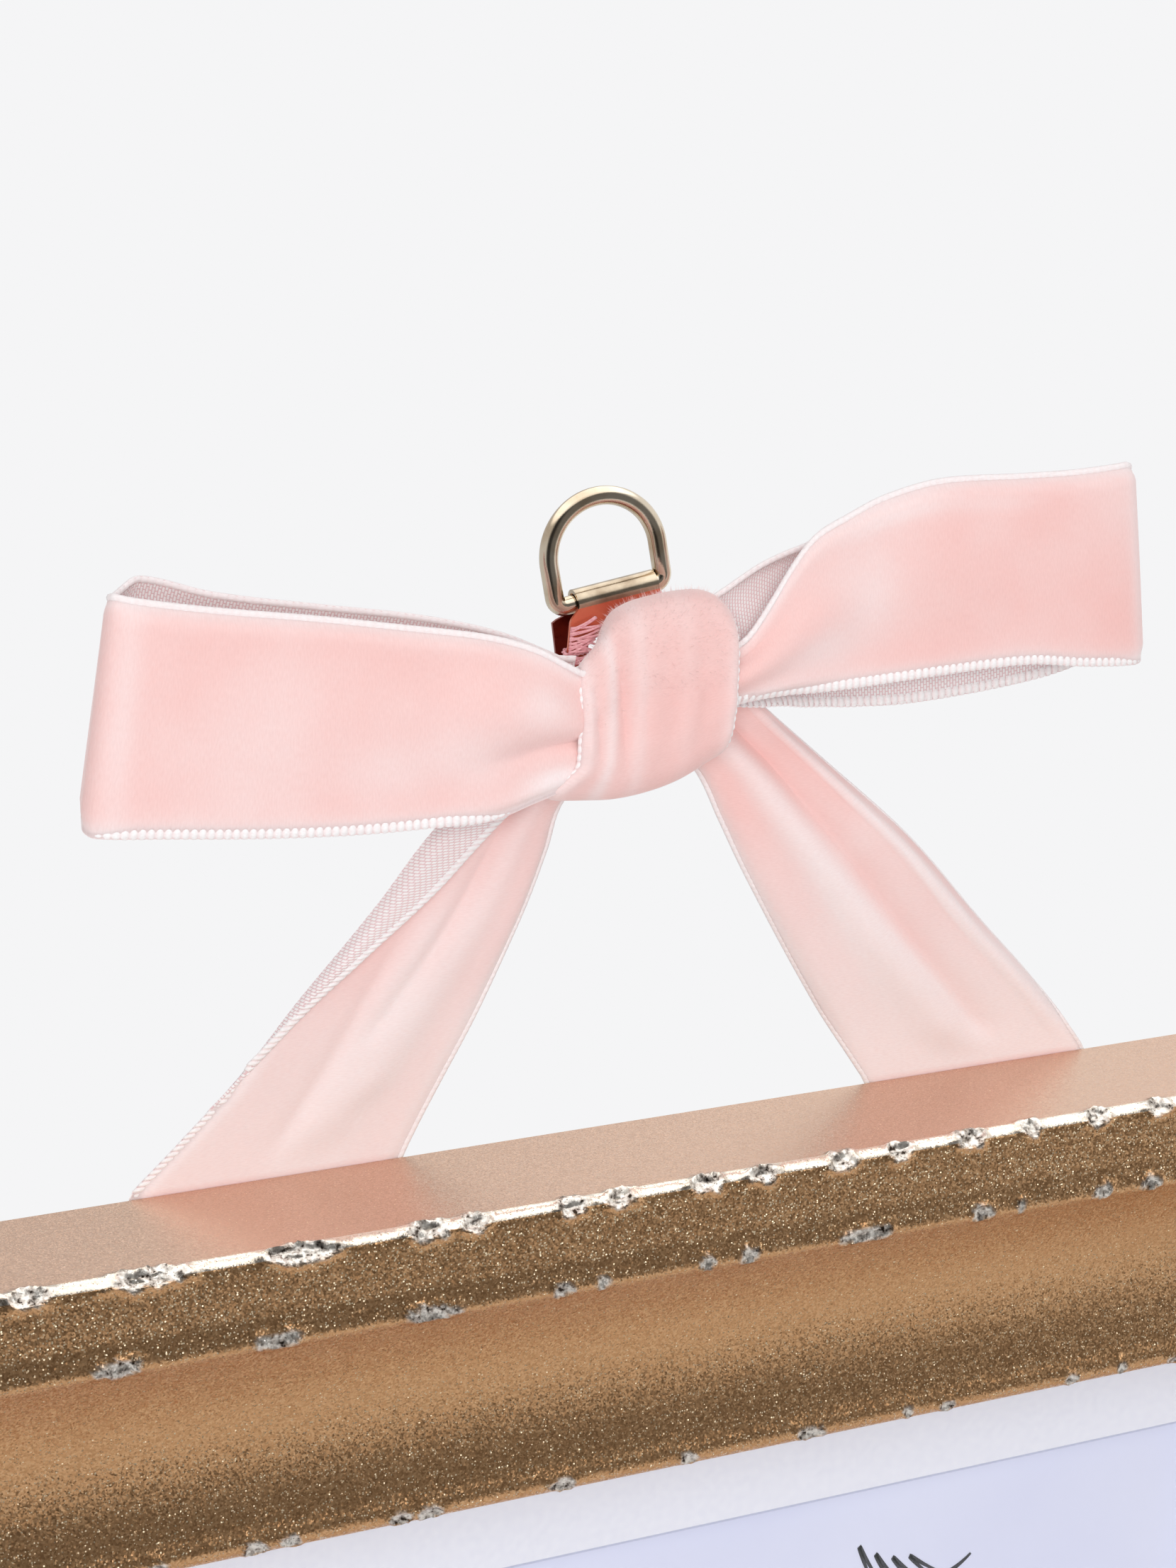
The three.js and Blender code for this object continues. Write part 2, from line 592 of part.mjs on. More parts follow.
// Ribbon ends behind the top rail, each under two staples
for (const [name, tail] of [["left", LEFT_TAIL], ["right", RIGHT_TAIL]]) {
  const [left, right] = tailEdges(tail, 1);
  const shift = tail.side * END_SLANT * END_LENGTH;
  const outline = [v2(left, END_Z), v2(right, END_Z)];
  outline.push(v2(right + shift, END_Z - END_LENGTH), v2(left + shift, END_Z - END_LENGTH));
  const places = endStaples(tail);
  const [y0, y1] = [RIBBON_Y - RIBBON_THICKNESS / 2, RIBBON_Y + RIBBON_THICKNESS / 2];
  const holes = places.flatMap((place) => stapleLegs(place, STAPLE_PLAY)).map(([x0, x1, z0, z1]) =>
    box(x0, x1, y0 - 1, y1 + 1, z0, z1));
  add(`ribbon_end_${name}`, cut(plate(outline, y0, y1), holes), VELVET);
  places.forEach((place, k) => {
    const half = STAPLE_CROWN / 2;
    const [crown, top, end] = [STAPLE_Y, STAPLE_Y + STAPLE_WIRE, STAPLE_Y + STAPLE_WIRE - STAPLE_LEG];
    const shape = new THREE.Shape([
      v2(-half, top), v2(-half, end), v2(-half + STAPLE_WIRE, end), v2(-half + STAPLE_WIRE, crown),
      v2(half - STAPLE_WIRE, crown), v2(half - STAPLE_WIRE, end), v2(half, end), v2(half, top),
    ]);
    const wire = new THREE.ExtrudeGeometry(shape, { depth: STAPLE_WIRE, bevelEnabled: false });
    add(`staple_${name}_${k + 1}`, wire.translate(place.x, 0, place.y - STAPLE_WIRE / 2), STEEL);
  });
}

// The ring's own plane: u along the straight bar, v towards the top, both tilted
const ringU = v3(Math.cos(RING_TILT), 0, Math.sin(RING_TILT));
const ringV = v3(-Math.sin(RING_TILT), 0, Math.cos(RING_TILT));
const arcMiddle = v3(0, 0, -(RING_RADIUS - RING_WIRE / 2));
function ringPoint(u, v, y = 0) {
  const p = arcMiddle.clone().addScaledVector(ringU, u - RING_SHIFT);
  return p.addScaledVector(ringV, v - RING_ARC_V).add(v3(0, y, 0));
}

// Centre line of the D, once round
const ringPath = [];
const ringCorner = (u, from) => {
  for (let k = 0; k <= 4; k += 1) {
    const turn = from + ((k / 4) * Math.PI) / 2;
    ringPath.push(v2(u + RING_CORNER * Math.cos(turn), RING_CORNER + RING_CORNER * Math.sin(turn)));
  }
};
const [ringLeft, ringRight] = [RING_SHIFT - RING_RADIUS, RING_SHIFT + RING_RADIUS];
ringCorner(ringLeft + RING_CORNER, Math.PI);
for (const t of [0.25, 0.5, 0.75]) {
  ringPath.push(v2(lerp(ringLeft + RING_CORNER, ringRight - RING_CORNER, t), 0));
}
ringCorner(ringRight - RING_CORNER, -Math.PI / 2);
for (let k = 0; k <= 28; k += 1) {
  const turn = (k / 28) * Math.PI;
  ringPath.push(v2(RING_SHIFT + RING_RADIUS * Math.cos(turn), RING_ARC_V + RING_RADIUS * Math.sin(turn)));
}
const ringSides = 8;
const ringPoints = [];
const ringTriangles = [];
ringPath.forEach((p, k) => {
  const next = ringPath[(k + 1) % ringPath.length];
  const last = ringPath[(k + ringPath.length - 1) % ringPath.length];
  const along = next.clone().sub(last).normalize();
  for (let s = 0; s < ringSides; s += 1) {
    const turn = ((s + 0.5) / ringSides) * 2 * Math.PI;
    const out = (RING_WIRE / 2) * Math.cos(turn);
    ringPoints.push(ringPoint(p.x + along.y * out, p.y - along.x * out, (RING_WIRE / 2) * Math.sin(turn)));
  }
  for (let s = 0; s < ringSides; s += 1) {
    const [a, b] = [k * ringSides + s, k * ringSides + ((s + 1) % ringSides)];
    const step = ((k + 1) % ringPath.length) * ringSides;
    const [c, d] = [step + ((s + 1) % ringSides), step + s];
    ringTriangles.push([a, b, c], [a, c, d]);
  }
});
add("d_ring", solid(ringPoints, ringTriangles), NICKEL);

// Strap: one strip folded over the bar, with a slot for the thread in both leaves
const fold = new THREE.Shape();
fold.moveTo(-STRAP_OUTER, -STRAP_FRONT_LEAF);
fold.lineTo(-STRAP_INNER, -STRAP_FRONT_LEAF);
fold.lineTo(-STRAP_INNER, 0);
fold.absarc(0, 0, STRAP_INNER, Math.PI, 0, true);
fold.lineTo(STRAP_INNER, -STRAP_BACK_LEAF);
fold.lineTo(STRAP_OUTER, -STRAP_BACK_LEAF);
fold.lineTo(STRAP_OUTER, 0);
fold.absarc(0, 0, STRAP_OUTER, 0, Math.PI, false);
const strapBasis = new THREE.Matrix4().makeBasis(v3(0, 1, 0), ringV, ringU);
strapBasis.setPosition(ringPoint(-STRAP_WIDTH / 2, 0));
const strapBlank = new THREE.ExtrudeGeometry(fold, {
  depth: STRAP_WIDTH, bevelEnabled: false, curveSegments: 10,
});
const slotHeight = THREAD_LOOPS * THREAD_PITCH + 2 * THREAD;
const slotTop = -STRAP_HOLE_BELOW;
const slotRight = STRAP_EDGE + STRAP_HOLE_WIDTH;
const slot = box(-2 * STRAP_OUTER, 2 * STRAP_OUTER, slotTop - slotHeight, slotTop, STRAP_EDGE, slotRight);
add("ring_strap", cut(strapBlank, [slot]).applyMatrix4(strapBasis), NICKEL);

// Thread: one unbroken winding round the strap's left edge, through the slot
const threadPath = [];
const perLoop = 12;
const threadTop = slotTop - THREAD;
for (let k = 0; k <= THREAD_LOOPS * perLoop; k += 1) {
  const inLoop = k % perLoop;
  const cornerNumber = Math.floor(inLoop / 3);
  const turn = ((cornerNumber + (inLoop % 3) / 2) * Math.PI) / 2;
  const atSlot = cornerNumber === 0 || cornerNumber === 3;
  const middleU = -STRAP_WIDTH / 2 + (atSlot ? STRAP_EDGE : 0);
  const middleY = cornerNumber < 2 ? STRAP_OUTER : -STRAP_OUTER;
  const u = middleU + THREAD_OFFSET * Math.cos(turn);
  const y = middleY + THREAD_OFFSET * Math.sin(turn);
  threadPath.push(ringPoint(u, threadTop - (k / perLoop) * THREAD_PITCH, y));
}
const threadCurve = new THREE.CatmullRomCurve3(threadPath, false, "centripetal");
const threadSteps = THREAD_LOOPS * 20;
const threadShape = new THREE.Shape(circle(THREAD / 2, 0, 0, 6));
add("thread_binding", new THREE.ExtrudeGeometry(threadShape, {
  steps: threadSteps, extrudePath: threadCurve, bevelEnabled: false,
}), THREAD_PINK);
const measured = threadCurve.getSpacedPoints(threadSteps * 2);
const loopLength = measured.length / THREAD_LOOPS;
let leastGap = Infinity;
measured.forEach((p, i) => {
  for (let j = i + Math.ceil(loopLength / 2); j < measured.length; j += 1) {
    leastGap = Math.min(leastGap, p.distanceTo(measured[j]) - THREAD);
  }
});
console.log(`thread: least gap to itself ${leastGap.toFixed(2)} mm`);

// Knot: share across the ribbon, turn round the oval, and how far inside the outer face
function rounded(value) {
  return Math.sign(value) * Math.abs(value) ** (2 / KNOT_SQUARE);
}
function knotPoint(across, turn, inside) {
  const top = through(KNOT_TOP, across) - inside;
  const bottom = through(KNOT_BOTTOM, across) + inside;
  const upward = rounded(Math.sin(turn));
  const backward = rounded(Math.cos(turn));
  const down = (1 - upward) / 2;
  const front = Math.max(0, -backward);
  const crease = KNOT_FOLD * front * Math.cos(across * KNOT_FOLDS * 2 * Math.PI);
  const x = lerp(KNOT_LEFT - KNOT_LEAN_LEFT * down, KNOT_RIGHT - KNOT_LEAN_RIGHT * down, across);
  const y = KNOT_MID_Y + (KNOT_DEPTH / 2 - inside) * backward + crease;
  return v3(x, y, lerp(top, bottom, down));
}
const knotAcross = 9;
const knotRound = 32;
const knotPoints = [];
const knotTriangles = [];
for (const inside of [0, RIBBON_THICKNESS]) {
  for (let i = 0; i <= knotAcross; i += 1) {
    for (let k = 0; k < knotRound; k += 1) {
      knotPoints.push(knotPoint(i / knotAcross, (k / knotRound) * 2 * Math.PI, inside));
    }
  }
}
const inner = (knotAcross + 1) * knotRound;
const knotQuad = (a, b, c, d) => knotTriangles.push([a, b, c], [a, c, d]);
for (let k = 0; k < knotRound; k += 1) {
  const next = (k + 1) % knotRound;
  for (let i = 0; i < knotAcross; i += 1) {
    const [a, b] = [i * knotRound + k, i * knotRound + next];
    const [c, d] = [b + knotRound, a + knotRound];
    knotQuad(a, b, c, d);
    knotQuad(inner + a, inner + d, inner + c, inner + b);
  }
  const last = knotAcross * knotRound;
  knotQuad(k, inner + k, inner + next, next);
  knotQuad(last + k, last + next, inner + last + next, inner + last + k);
}
add("bow_knot", solid(knotPoints, knotTriangles), VELVET);

// Waist: the gathered ribbon that fills the knot
const waistInset = (LOOP_IN_MOUTH + WAIST_SHORT) / (MOUTH_RIGHT - MOUTH_LEFT);
const waistAcross = 9;
const waistRound = 24;
const waistPoints = [];
const waistTriangles = [];
for (let i = 0; i <= waistAcross; i += 1) {
  const across = lerp(waistInset, 1 - waistInset, i / waistAcross);
  for (let k = 0; k < waistRound; k += 1) {
    waistPoints.push(knotPoint(across, (k / waistRound) * 2 * Math.PI, RIBBON_THICKNESS + WAIST_GAP));
  }
}
for (let k = 0; k < waistRound; k += 1) {
  const next = (k + 1) % waistRound;
  for (let i = 0; i < waistAcross; i += 1) {
    const [a, b] = [i * waistRound + k, i * waistRound + next];
    waistTriangles.push([a, b, b + waistRound], [a, b + waistRound, a + waistRound]);
  }
  if (k > 0 && next > 0) {
    const last = waistAcross * waistRound;
    waistTriangles.push([0, next, k], [last, last + k, last + next]);
  }
}
add("bow_waist", solid(waistPoints, waistTriangles), VELVET);

// Loops: out along the front layer, round the end and back along the rear layer
function loopPoint(loop, way, across) {
  const share = 1 - Math.abs(1 - 2 * way);
  const out = Math.sin((share * Math.PI) / 2);
  const rearward = (way < 0.5 ? -1 : 1) * through(LOOP_PLAN, out);
  const rear = smooth(THREE.MathUtils.clamp(0.5 + rearward * 2, 0, 1));
  const middle = lerp(through(loop.front.middle, out), through(loop.rear.middle, out), rear);
  const open = RIBBON_WIDTH * lerp(through(loop.front.open, out), through(loop.rear.open, out), rear);
  const reach = loop.reach - (loop.rearShort * (1 + rearward)) / 2;
  const from = 0.5 - across;
  const pleat = LOOP_PLEAT * (1 - out) ** 2 * Math.sin(across * LOOP_PLEATS * 2 * Math.PI);
  const x = loop.start + loop.side * reach * out + loop.slant * out * out * from * 2;
  const middleY = lerp(KNOT_MID_Y, loop.middleY, smooth(Math.min(out * 2.5, 1)));
  return v3(x, middleY + (loop.depth / 2) * rearward + pleat, middle + from * open);
}
const loops = [
  {
    name: "left", side: -1, start: LOOP_START_LEFT, slant: LOOP_END_SLANT_LEFT,
    reach: LOOP_REACH_LEFT, rearShort: LOOP_BACK_SHORT_LEFT,
    depth: LOOP_DEPTH_LEFT, middleY: LOOP_MID_LEFT, front: LEFT_FRONT, rear: LEFT_REAR,
  },
  {
    name: "right", side: 1, start: LOOP_START_RIGHT, slant: LOOP_END_SLANT_RIGHT,
    reach: LOOP_REACH_RIGHT, rearShort: LOOP_BACK_SHORT_RIGHT,
    depth: LOOP_DEPTH_RIGHT, middleY: LOOP_MID_RIGHT, front: RIGHT_FRONT, rear: RIGHT_REAR,
  },
];
for (const loop of loops) {
  const at = (way, across) => loopPoint(loop, way, across);
  add(`bow_loop_${loop.name}`, sheet(40, 6, at, RIBBON_THICKNESS), VELVET);
}

// Tails: from behind the knot down to the fold over the rail
function tailPoint(tail, t, across) {
  const [left, right] = tailEdges(tail, t);
  const z = lerp(-TAIL_START, FOLD_Z + FOLD_GAP_UP, t);
  const y = lerp(TAIL_TOP_Y, RIBBON_Y, smooth(THREE.MathUtils.clamp((t - 0.15) / 0.85, 0, 1)));
  const bump = Math.exp(-(((across - tail.fold) / 0.22) ** 2));
  const swell = TAIL_FOLD * Math.sin(Math.PI * Math.min(Math.max((t - 0.2) / 0.8, 0), 1));
  return v3(lerp(left, right, across), y - swell * bump, z);
}
for (const [name, tail] of [["left", LEFT_TAIL], ["right", RIGHT_TAIL]]) {
  const at = (t, across) => tailPoint(tail, t, across);
  add(`ribbon_tail_${name}`, sheet(16, 8, at, RIBBON_THICKNESS), VELVET);
}

export default group;
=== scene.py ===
# Hanging photo frame: glitter-painted rails that hang from a velvet bow and a metal ring.
import math
import random

import bmesh
import bpy
import numpy as np
from mathutils import Euler, Matrix, Vector, noise


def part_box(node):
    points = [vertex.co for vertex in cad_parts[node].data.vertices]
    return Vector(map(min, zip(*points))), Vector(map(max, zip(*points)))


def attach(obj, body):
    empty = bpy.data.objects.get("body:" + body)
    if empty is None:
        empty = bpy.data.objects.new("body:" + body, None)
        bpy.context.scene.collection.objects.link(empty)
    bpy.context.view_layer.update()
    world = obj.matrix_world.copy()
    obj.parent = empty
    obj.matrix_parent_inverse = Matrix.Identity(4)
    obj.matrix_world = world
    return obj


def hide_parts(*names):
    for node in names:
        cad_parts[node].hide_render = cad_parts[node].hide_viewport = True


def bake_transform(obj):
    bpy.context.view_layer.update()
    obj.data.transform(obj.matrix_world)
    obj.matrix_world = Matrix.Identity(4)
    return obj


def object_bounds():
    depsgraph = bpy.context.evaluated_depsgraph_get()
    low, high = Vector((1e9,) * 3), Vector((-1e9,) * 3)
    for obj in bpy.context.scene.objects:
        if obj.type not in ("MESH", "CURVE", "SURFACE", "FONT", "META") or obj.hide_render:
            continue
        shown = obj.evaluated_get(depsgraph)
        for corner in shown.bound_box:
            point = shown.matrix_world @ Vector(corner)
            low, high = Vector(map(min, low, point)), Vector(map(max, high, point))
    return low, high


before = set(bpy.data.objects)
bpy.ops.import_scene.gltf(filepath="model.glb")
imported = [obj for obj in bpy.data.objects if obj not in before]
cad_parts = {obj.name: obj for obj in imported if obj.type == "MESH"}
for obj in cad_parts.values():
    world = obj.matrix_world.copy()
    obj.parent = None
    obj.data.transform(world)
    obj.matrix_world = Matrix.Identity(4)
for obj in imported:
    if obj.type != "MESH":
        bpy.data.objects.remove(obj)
cad_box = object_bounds()

# Shapes are written in millimetres and turned into metres when a mesh is made.
MM = 0.001
TINY = 1e-9


def node_box(name):
    low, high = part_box(name)
    return Vector(low) / MM, Vector(high) / MM


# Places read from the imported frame
TOP_LOW, TOP_HIGH = node_box("rail_top")
LEFT_LOW, LEFT_HIGH = node_box("rail_left")
GLASS_LOW = node_box("glass")[0]
PRINT_LOW, PRINT_HIGH = node_box("photo_print")
HALF_WIDTH = TOP_HIGH.x
BACK_Y = TOP_HIGH.y
TOP_Z = TOP_HIGH.z
HALF_HEIGHT = (LEFT_HIGH.z - LEFT_LOW.z) / 2
MID_Z = (LEFT_HIGH.z + LEFT_LOW.z) / 2

# Moulding section
RAIL_FACE = TOP_HIGH.z - TOP_LOW.z
RIDGE_HEIGHT = 0.5
RAIL_DEPTH = TOP_HIGH.y - TOP_LOW.y - RIDGE_HEIGHT
EDGE_ROUND = 1.4
BAND_WIDTH = 6.9
RIDGE_WIDTH = 1.9
RIDGE_RISE = 2.8
LIP_WIDTH = 3.4
LIP_HEIGHT = 1
LIP_RISE = 0.6
LIP_CREST = 1.7
LIP_DROP = 1.2
LIP_RECESS = 5
LIP_FACE = 0.5
SIDE_FINE = 5
SCOOP_DEPTH = 3.2
REBATE_WIDTH = 6
REBATE_DEPTH = BACK_Y - GLASS_LOW.y + 0.1
MITRE_GAP = 0.05
RAIL_STEP = 0.45

# Chips in the paint of the top rail: [place along X, length], read off the photograph.
# Out of the picture, and on the other rails, they are picked at random.
CHIP_MARGIN = 6
CHIP_LENGTHS = (1.6, 5)
CHIP_WOBBLE = 0.45
CHIP_SPACING = {"edge": 9, "ridge": 11, "lip": 10}
EDGE_CHIPS = [
    [-67.5, 5], [-55.5, 8], [-40, 8], [-26.5, 4.7], [-21.5, 3.5], [-10.5, 3.7], [-5, 3.6], [5, 4],
    [11.5, 3.4], [21, 3.7], [28, 3.2], [37, 4], [44.5, 2.9], [53, 3.4], [61, 3],
]
RIDGE_CHIPS = [
    [-59, 4.8], [-42.5, 5.5], [-26.5, 5.9], [-12, 2.7], [-7.5, 1.9], [4.5, 1.9],
    [9.5, 2.5], [23.5, 6.9], [38, 2.8], [43, 1.2], [53.5, 2.7], [60, 2.5],
]
LIP_CHIPS = [
    [-60, 2.1], [-55, 1.9], [-44.5, 3.2], [-40.5, 2.7], [-28.5, 2.7], [-25, 3], [-10, 3.6],
    [5, 2.2], [20, 4], [32.5, 1.5], [37.5, 1.8], [54, 1.7], [61, 1.6],
]
CHIPS_SEEN = {"edge": EDGE_CHIPS, "ridge": RIDGE_CHIPS, "lip": LIP_CHIPS}
PICTURE_LEFT, PICTURE_RIGHT = -72, 64

# Ribbon
RIBBON_WIDTH = 22
RIBBON_CRISP = 80
RIBBON_THICKNESS = 0.9
SELVEDGE_PITCH = 0.85
SELVEDGE_WIDTH = 1.4
UPPER_SELVEDGE = 0.8
TAIL_SELVEDGE = 0.8
MILKY = 0.75  # how faint the ribs of the finer edges are
FLAT_BACK = 0.35  # share of half the thickness by which the satin back stands off
KNOT_SELVEDGE = 0.6
SELVEDGE_HEIGHT = 0.32
SELVEDGE_SIDES = 8
# Near a ribbon's edges its pile is painted paler: partly the thinner pile there, partly painted sheen
PALE_EDGE = 1.7
PALE_AT_EDGE = 0.75
BARE_SHARE = 0.3  # share of half the thickness that is left at a bare edge
RIBBON_Y = BACK_Y + 0.6
FOLD_Z = TOP_Z + 0.7
FOLD_DROP = 0.55
END_LENGTH = 20
END_SLANT = 0.92
TAIL_START = 22
TAIL_TOP_Y = -1.38
TAIL_SWAY = 0.2
TAIL_CURL_WIDTH = 1.3
FLAP_LIFT = 1.5
TURNED_SHADE = 0.35

# Knot and loops
KNOT_LEFT = -7
KNOT_RIGHT = 10.9
KNOT_LEAN_LEFT = 0.8
KNOT_LEAN_RIGHT = 0.9
KNOT_DEPTH = 9.2
KNOT_BACK_Y = -2.38
KNOT_MID_Y = KNOT_BACK_Y - KNOT_DEPTH / 2
KNOT_SQUARE = 2.6  # 2 is a round section, more is a squarer one
LOOP_START_LEFT = -6.6
LOOP_START_RIGHT = 10.35
LOOP_NECK = 0.03

# Curves, each a list of [share of the way, value].
# Knot creases are [place across, depth, width], and its ridges of painted highlight [place across, paleness,
# width];
# a loop's spots of painted highlight are [place out, place across, width out, width across, paleness], and a
# tail's folds are
# [upper place, lower place, height, width, paleness, start, end], their paleness painted highlight.
KNOT_TOP = [
    [0, -14.6], [0.1, -13.2], [0.17, -12.1], [0.24, -10.8], [0.37, -9.4],
    [0.5, -8.8], [0.73, -8.4], [0.88, -8.8], [1, -11],
]
KNOT_BOTTOM = [[0, -28.8], [0.3, -29.5], [0.65, -28.5], [1, -25.6]]
KNOT_CREASES = [
    [0.1, 0.55, 0.05], [0.27, 1.25, 0.065], [0.4, 0.15, 0.03], [0.58, 0.2, 0.07], [0.76, 0.15, 0.06],
]
# Ridges of painted highlight on the knot: [place across, paleness, width]
KNOT_RIDGE_HIGHLIGHTS = [[0.19, 0.6, 0.035], [0.37, 0.3, 0.05], [0.66, 0.12, 0.06]]
KNOT_SWELL = 0.1
KNOT_WAVE = 0.18
KNOT_LOBE = 2.6
KNOT_TUCK = 3.2
KNOT_TUCK_DROP = 1.6
KNOT_CURL = 0.8
KNOT_FUZZ = 2600
FUZZ_LENGTH = 0.85
FUZZ_WIDTH = 0.03
WAIST_GAP = 0.5
WAIST_INSET = 0.1
WAIST_PLEATS = 9
WAIST_PLEAT = 0.25
LOOP_PLEAT = 0.5
LOOP_SWAY = 0.22
LOOP_UPPER_CURL = 0.9
LOOP_LOWER_CURL = 1.1
LOOP_PLAN = [
    [-LOOP_NECK, 0.5], [0, 0.62], [0.05, 0.72], [0.12, 0.8], [0.2, 0.9], [0.4, 1],
    [0.65, 0.99], [0.86, 0.95], [0.95, 0.82], [0.985, 0.5], [1, 0],
]
LEFT_LOOP = {
    "side": -1, "start": LOOP_START_LEFT, "slant": 1.96, "reach": 51.6, "rear_short": 5,
    "depth": 9.6, "middle_y": -5.5, "beads_from": 0.16,
    "front_middle": [
        [0, -21.2], [0.04, -20.8], [0.1, -20.35], [0.19, -20.2], [0.3, -19.6],
        [0.4, -19.1], [0.54, -18.3], [0.7, -17.3], [0.84, -16.3], [1, -15.2],
    ],
    "front_open": [
        [0, 0.54], [0.04, 0.61], [0.1, 0.73], [0.19, 0.86],
        [0.3, 0.91], [0.54, 0.99], [0.84, 1.03], [1, 1.07],
    ],
    "rear_middle": [
        [0, -19.5], [0.13, -19.5], [0.3, -19.3], [0.55, -18.5], [0.8, -16.5], [0.96, -14.5], [1, -15],
    ],
    "rear_open": [[0, 0.43], [0.13, 0.69], [0.3, 0.87], [0.55, 0.985], [0.8, 1], [1, 1.03]],
    "crease": 0.6, "crease_depth": 1.2, "crease_width": 0.075, "bulge": 0.36, "bulge_height": 1.3,
    # Spots of painted highlight on the loop's bulges and folds
    "painted_light": [
        [0.1, 0.36, 0.06, 0.14, 0.55], [0.07, 0.86, 0.07, 0.09, 0.9], [0.24, 0.62, 0.09, 0.2, 0.45],
        [0.42, 0.72, 0.1, 0.16, 0.35], [0.62, 0.5, 0.12, 0.2, 0.25], [0.93, 0.5, 0.03, 0.6, 0.45],
    ],
}
RIGHT_LOOP = {
    "side": 1, "start": LOOP_START_RIGHT, "slant": -1.1, "reach": 52.2, "rear_short": 1,
    "depth": 6.8, "middle_y": -4.2, "beads_from": -0.2,
    "front_middle": [
        [0, -17.7], [0.04, -16.8], [0.09, -15.1], [0.146, -13.2], [0.2, -11.9],
        [0.28, -11], [0.37, -10.1], [0.5, -9.3], [0.7, -9.3], [0.83, -9.75], [1, -9.9],
    ],
    "front_open": [
        [0, 0.29], [0.04, 0.335], [0.09, 0.47], [0.146, 0.64], [0.2, 0.764],
        [0.28, 0.84], [0.37, 0.91], [0.5, 0.956], [0.7, 0.945], [0.83, 0.985], [1, 1.04],
    ],
    "rear_middle": [
        [0, -15.4], [0.03, -15.2], [0.11, -14.5], [0.17, -14.2], [0.23, -14.2],
        [0.28, -14], [0.35, -13.6], [0.5, -13.5], [0.73, -12.8], [0.88, -11.8], [1, -9.6],
    ],
    "rear_open": [
        [0, 0.525], [0.03, 0.57], [0.11, 0.69], [0.17, 0.75], [0.23, 0.81],
        [0.28, 0.86], [0.35, 0.94], [0.5, 0.98], [0.73, 0.97], [0.9, 0.94], [1, 0.93],
    ],
    "crease": 0.3, "crease_depth": 0.4, "crease_width": 0.08, "bulge": 0.6, "bulge_height": 0.5,
    # Spots of painted highlight on the loop's bulges and folds
    "painted_light": [
        [0.2, 0.72, 0.1, 0.16, 0.6], [0.33, 0.5, 0.07, 0.2, 0.4], [0.4, 0.12, 0.14, 0.05, 0.5],
        [0.62, 0.14, 0.1, 0.05, 0.3], [0.97, 0.5, 0.02, 0.6, 0.5],
    ],
}
# A tail's paling is painted light, paler towards its shaded lower end; its folds' paleness is painted
# highlight
LEFT_TAIL = {
    "side": -1, "painted_paling": (-0.1, 0.85),
    "folds": [
        [0.56, 0.5, -0.5, 0.06, 0.0, 0.05, 0.65], [0.7, 0.66, 0.5, 0.1, 0.35, 0.05, 0.8],
        [0.3, 0.46, -0.35, 0.05, 0.0, 0.45, 1.0], [0.42, 0.62, 0.6, 0.12, 0.45, 0.4, 1.0],
    ],
    "left_curl": [[0, 0], [1, 0]], "right_curl": [[0, 1.3], [0.45, 1.3], [0.7, 0.2], [1, 0]],
    "right_turn": 0,
    "left": [
        [0, -6], [0.1, -12.8], [0.22, -19.8], [0.38, -25.8], [0.57, -33.2],
        [0.76, -40.2], [0.91, -47.2], [1, -51.9],
    ],
    "right": [
        [0, 3.5], [0.1, -0.9], [0.2, -5.1], [0.3, -6.6], [0.47, -9.4],
        [0.67, -13.5], [0.84, -17.6], [1, -21.7],
    ],
    "flap": [[0, 6.6], [0.2, 6.4], [0.34, 5.2], [0.5, 2.7], [0.62, 1.4], [0.74, 0.5], [0.84, 0], [1, 0]],
}
RIGHT_TAIL = {
    "side": 1, "painted_paling": (-0.15, 1),
    "folds": [
        [0.32, 0.47, 0.9, 0.12, 0.75, 0.0, 1.0], [0.53, 0.6, -0.8, 0.08, -0.3, 0.0, 0.9],
        [0.84, 0.92, 0.4, 0.03, 0.9, 0.0, 0.95],
    ],
    "left_curl": [[0, 1.3], [0.8, 1.3], [0.93, 0.3], [1, 0]], "right_curl": [[0, 0], [1, 0]],
    "right_turn": 3.2,
    "left": [
        [0, 5], [0.08, 7.5], [0.17, 10.8], [0.28, 13.4],
        [0.43, 17.2], [0.67, 24.1], [0.85, 29.4], [1, 33.9],
    ],
    "right": [[0, 17.8], [0.18, 27.1], [0.4, 38.6], [0.63, 48.6], [0.84, 57.8], [1, 63.3]],
    "flap": [[0, 0], [1, 0]],
}

# Ring, strap and thread
RING_TILT = math.radians(9)
RING_WIRE = 2
RING_RADIUS = 6.2
RING_SIDE = 3.3
RING_CORNER = 1.1
RING_SHIFT = -0.45
STRAP_WIDTH = 9.2
STRAP_INNER = 1.15
STRAP_SHEET = 0.4
STRAP_FRONT_LEAF = 10
STRAP_BACK_LEAF = 11.5
STRAP_EDGE = 2.2
SLOT_WIDTH = 2.6
SLOT_TOP = -3.6
FRONT_FLARE = 0.9
BACK_FLARE = 2.2
FRONT_SPLAY = 1.5
BACK_SPLAY = 0.8
FRONT_SLOPE = 0.27
BACK_SLOPE = 0.05
BARREL_FOOT = -0.35
RING_CLEAR = 0.95  # the back leaf spreads below this, clear of the ring's swing
THREAD_TOP = -1.25  # loose strands cross below this, clear of the ring's swing
THREAD = 0.46
THREAD_LOOPS = 5
THREAD_PITCH = 0.98
THREAD_BOTH = -5.4  # below this the winding takes in both leaves
THREAD_CLEAR = 0.12
TWIST_PITCH = 1.1
PLY_OFFSET = 0.115
PLY = 0.125
LOOSE_STRAND = 0.14
CROSSINGS = 22
CROSSING_TOP = -1.9
CROSSING_DROP = 3.9
CROSSING_RISE = (-1.9, 1.1)
CROSSING_REACH = (2.6, 4.4)
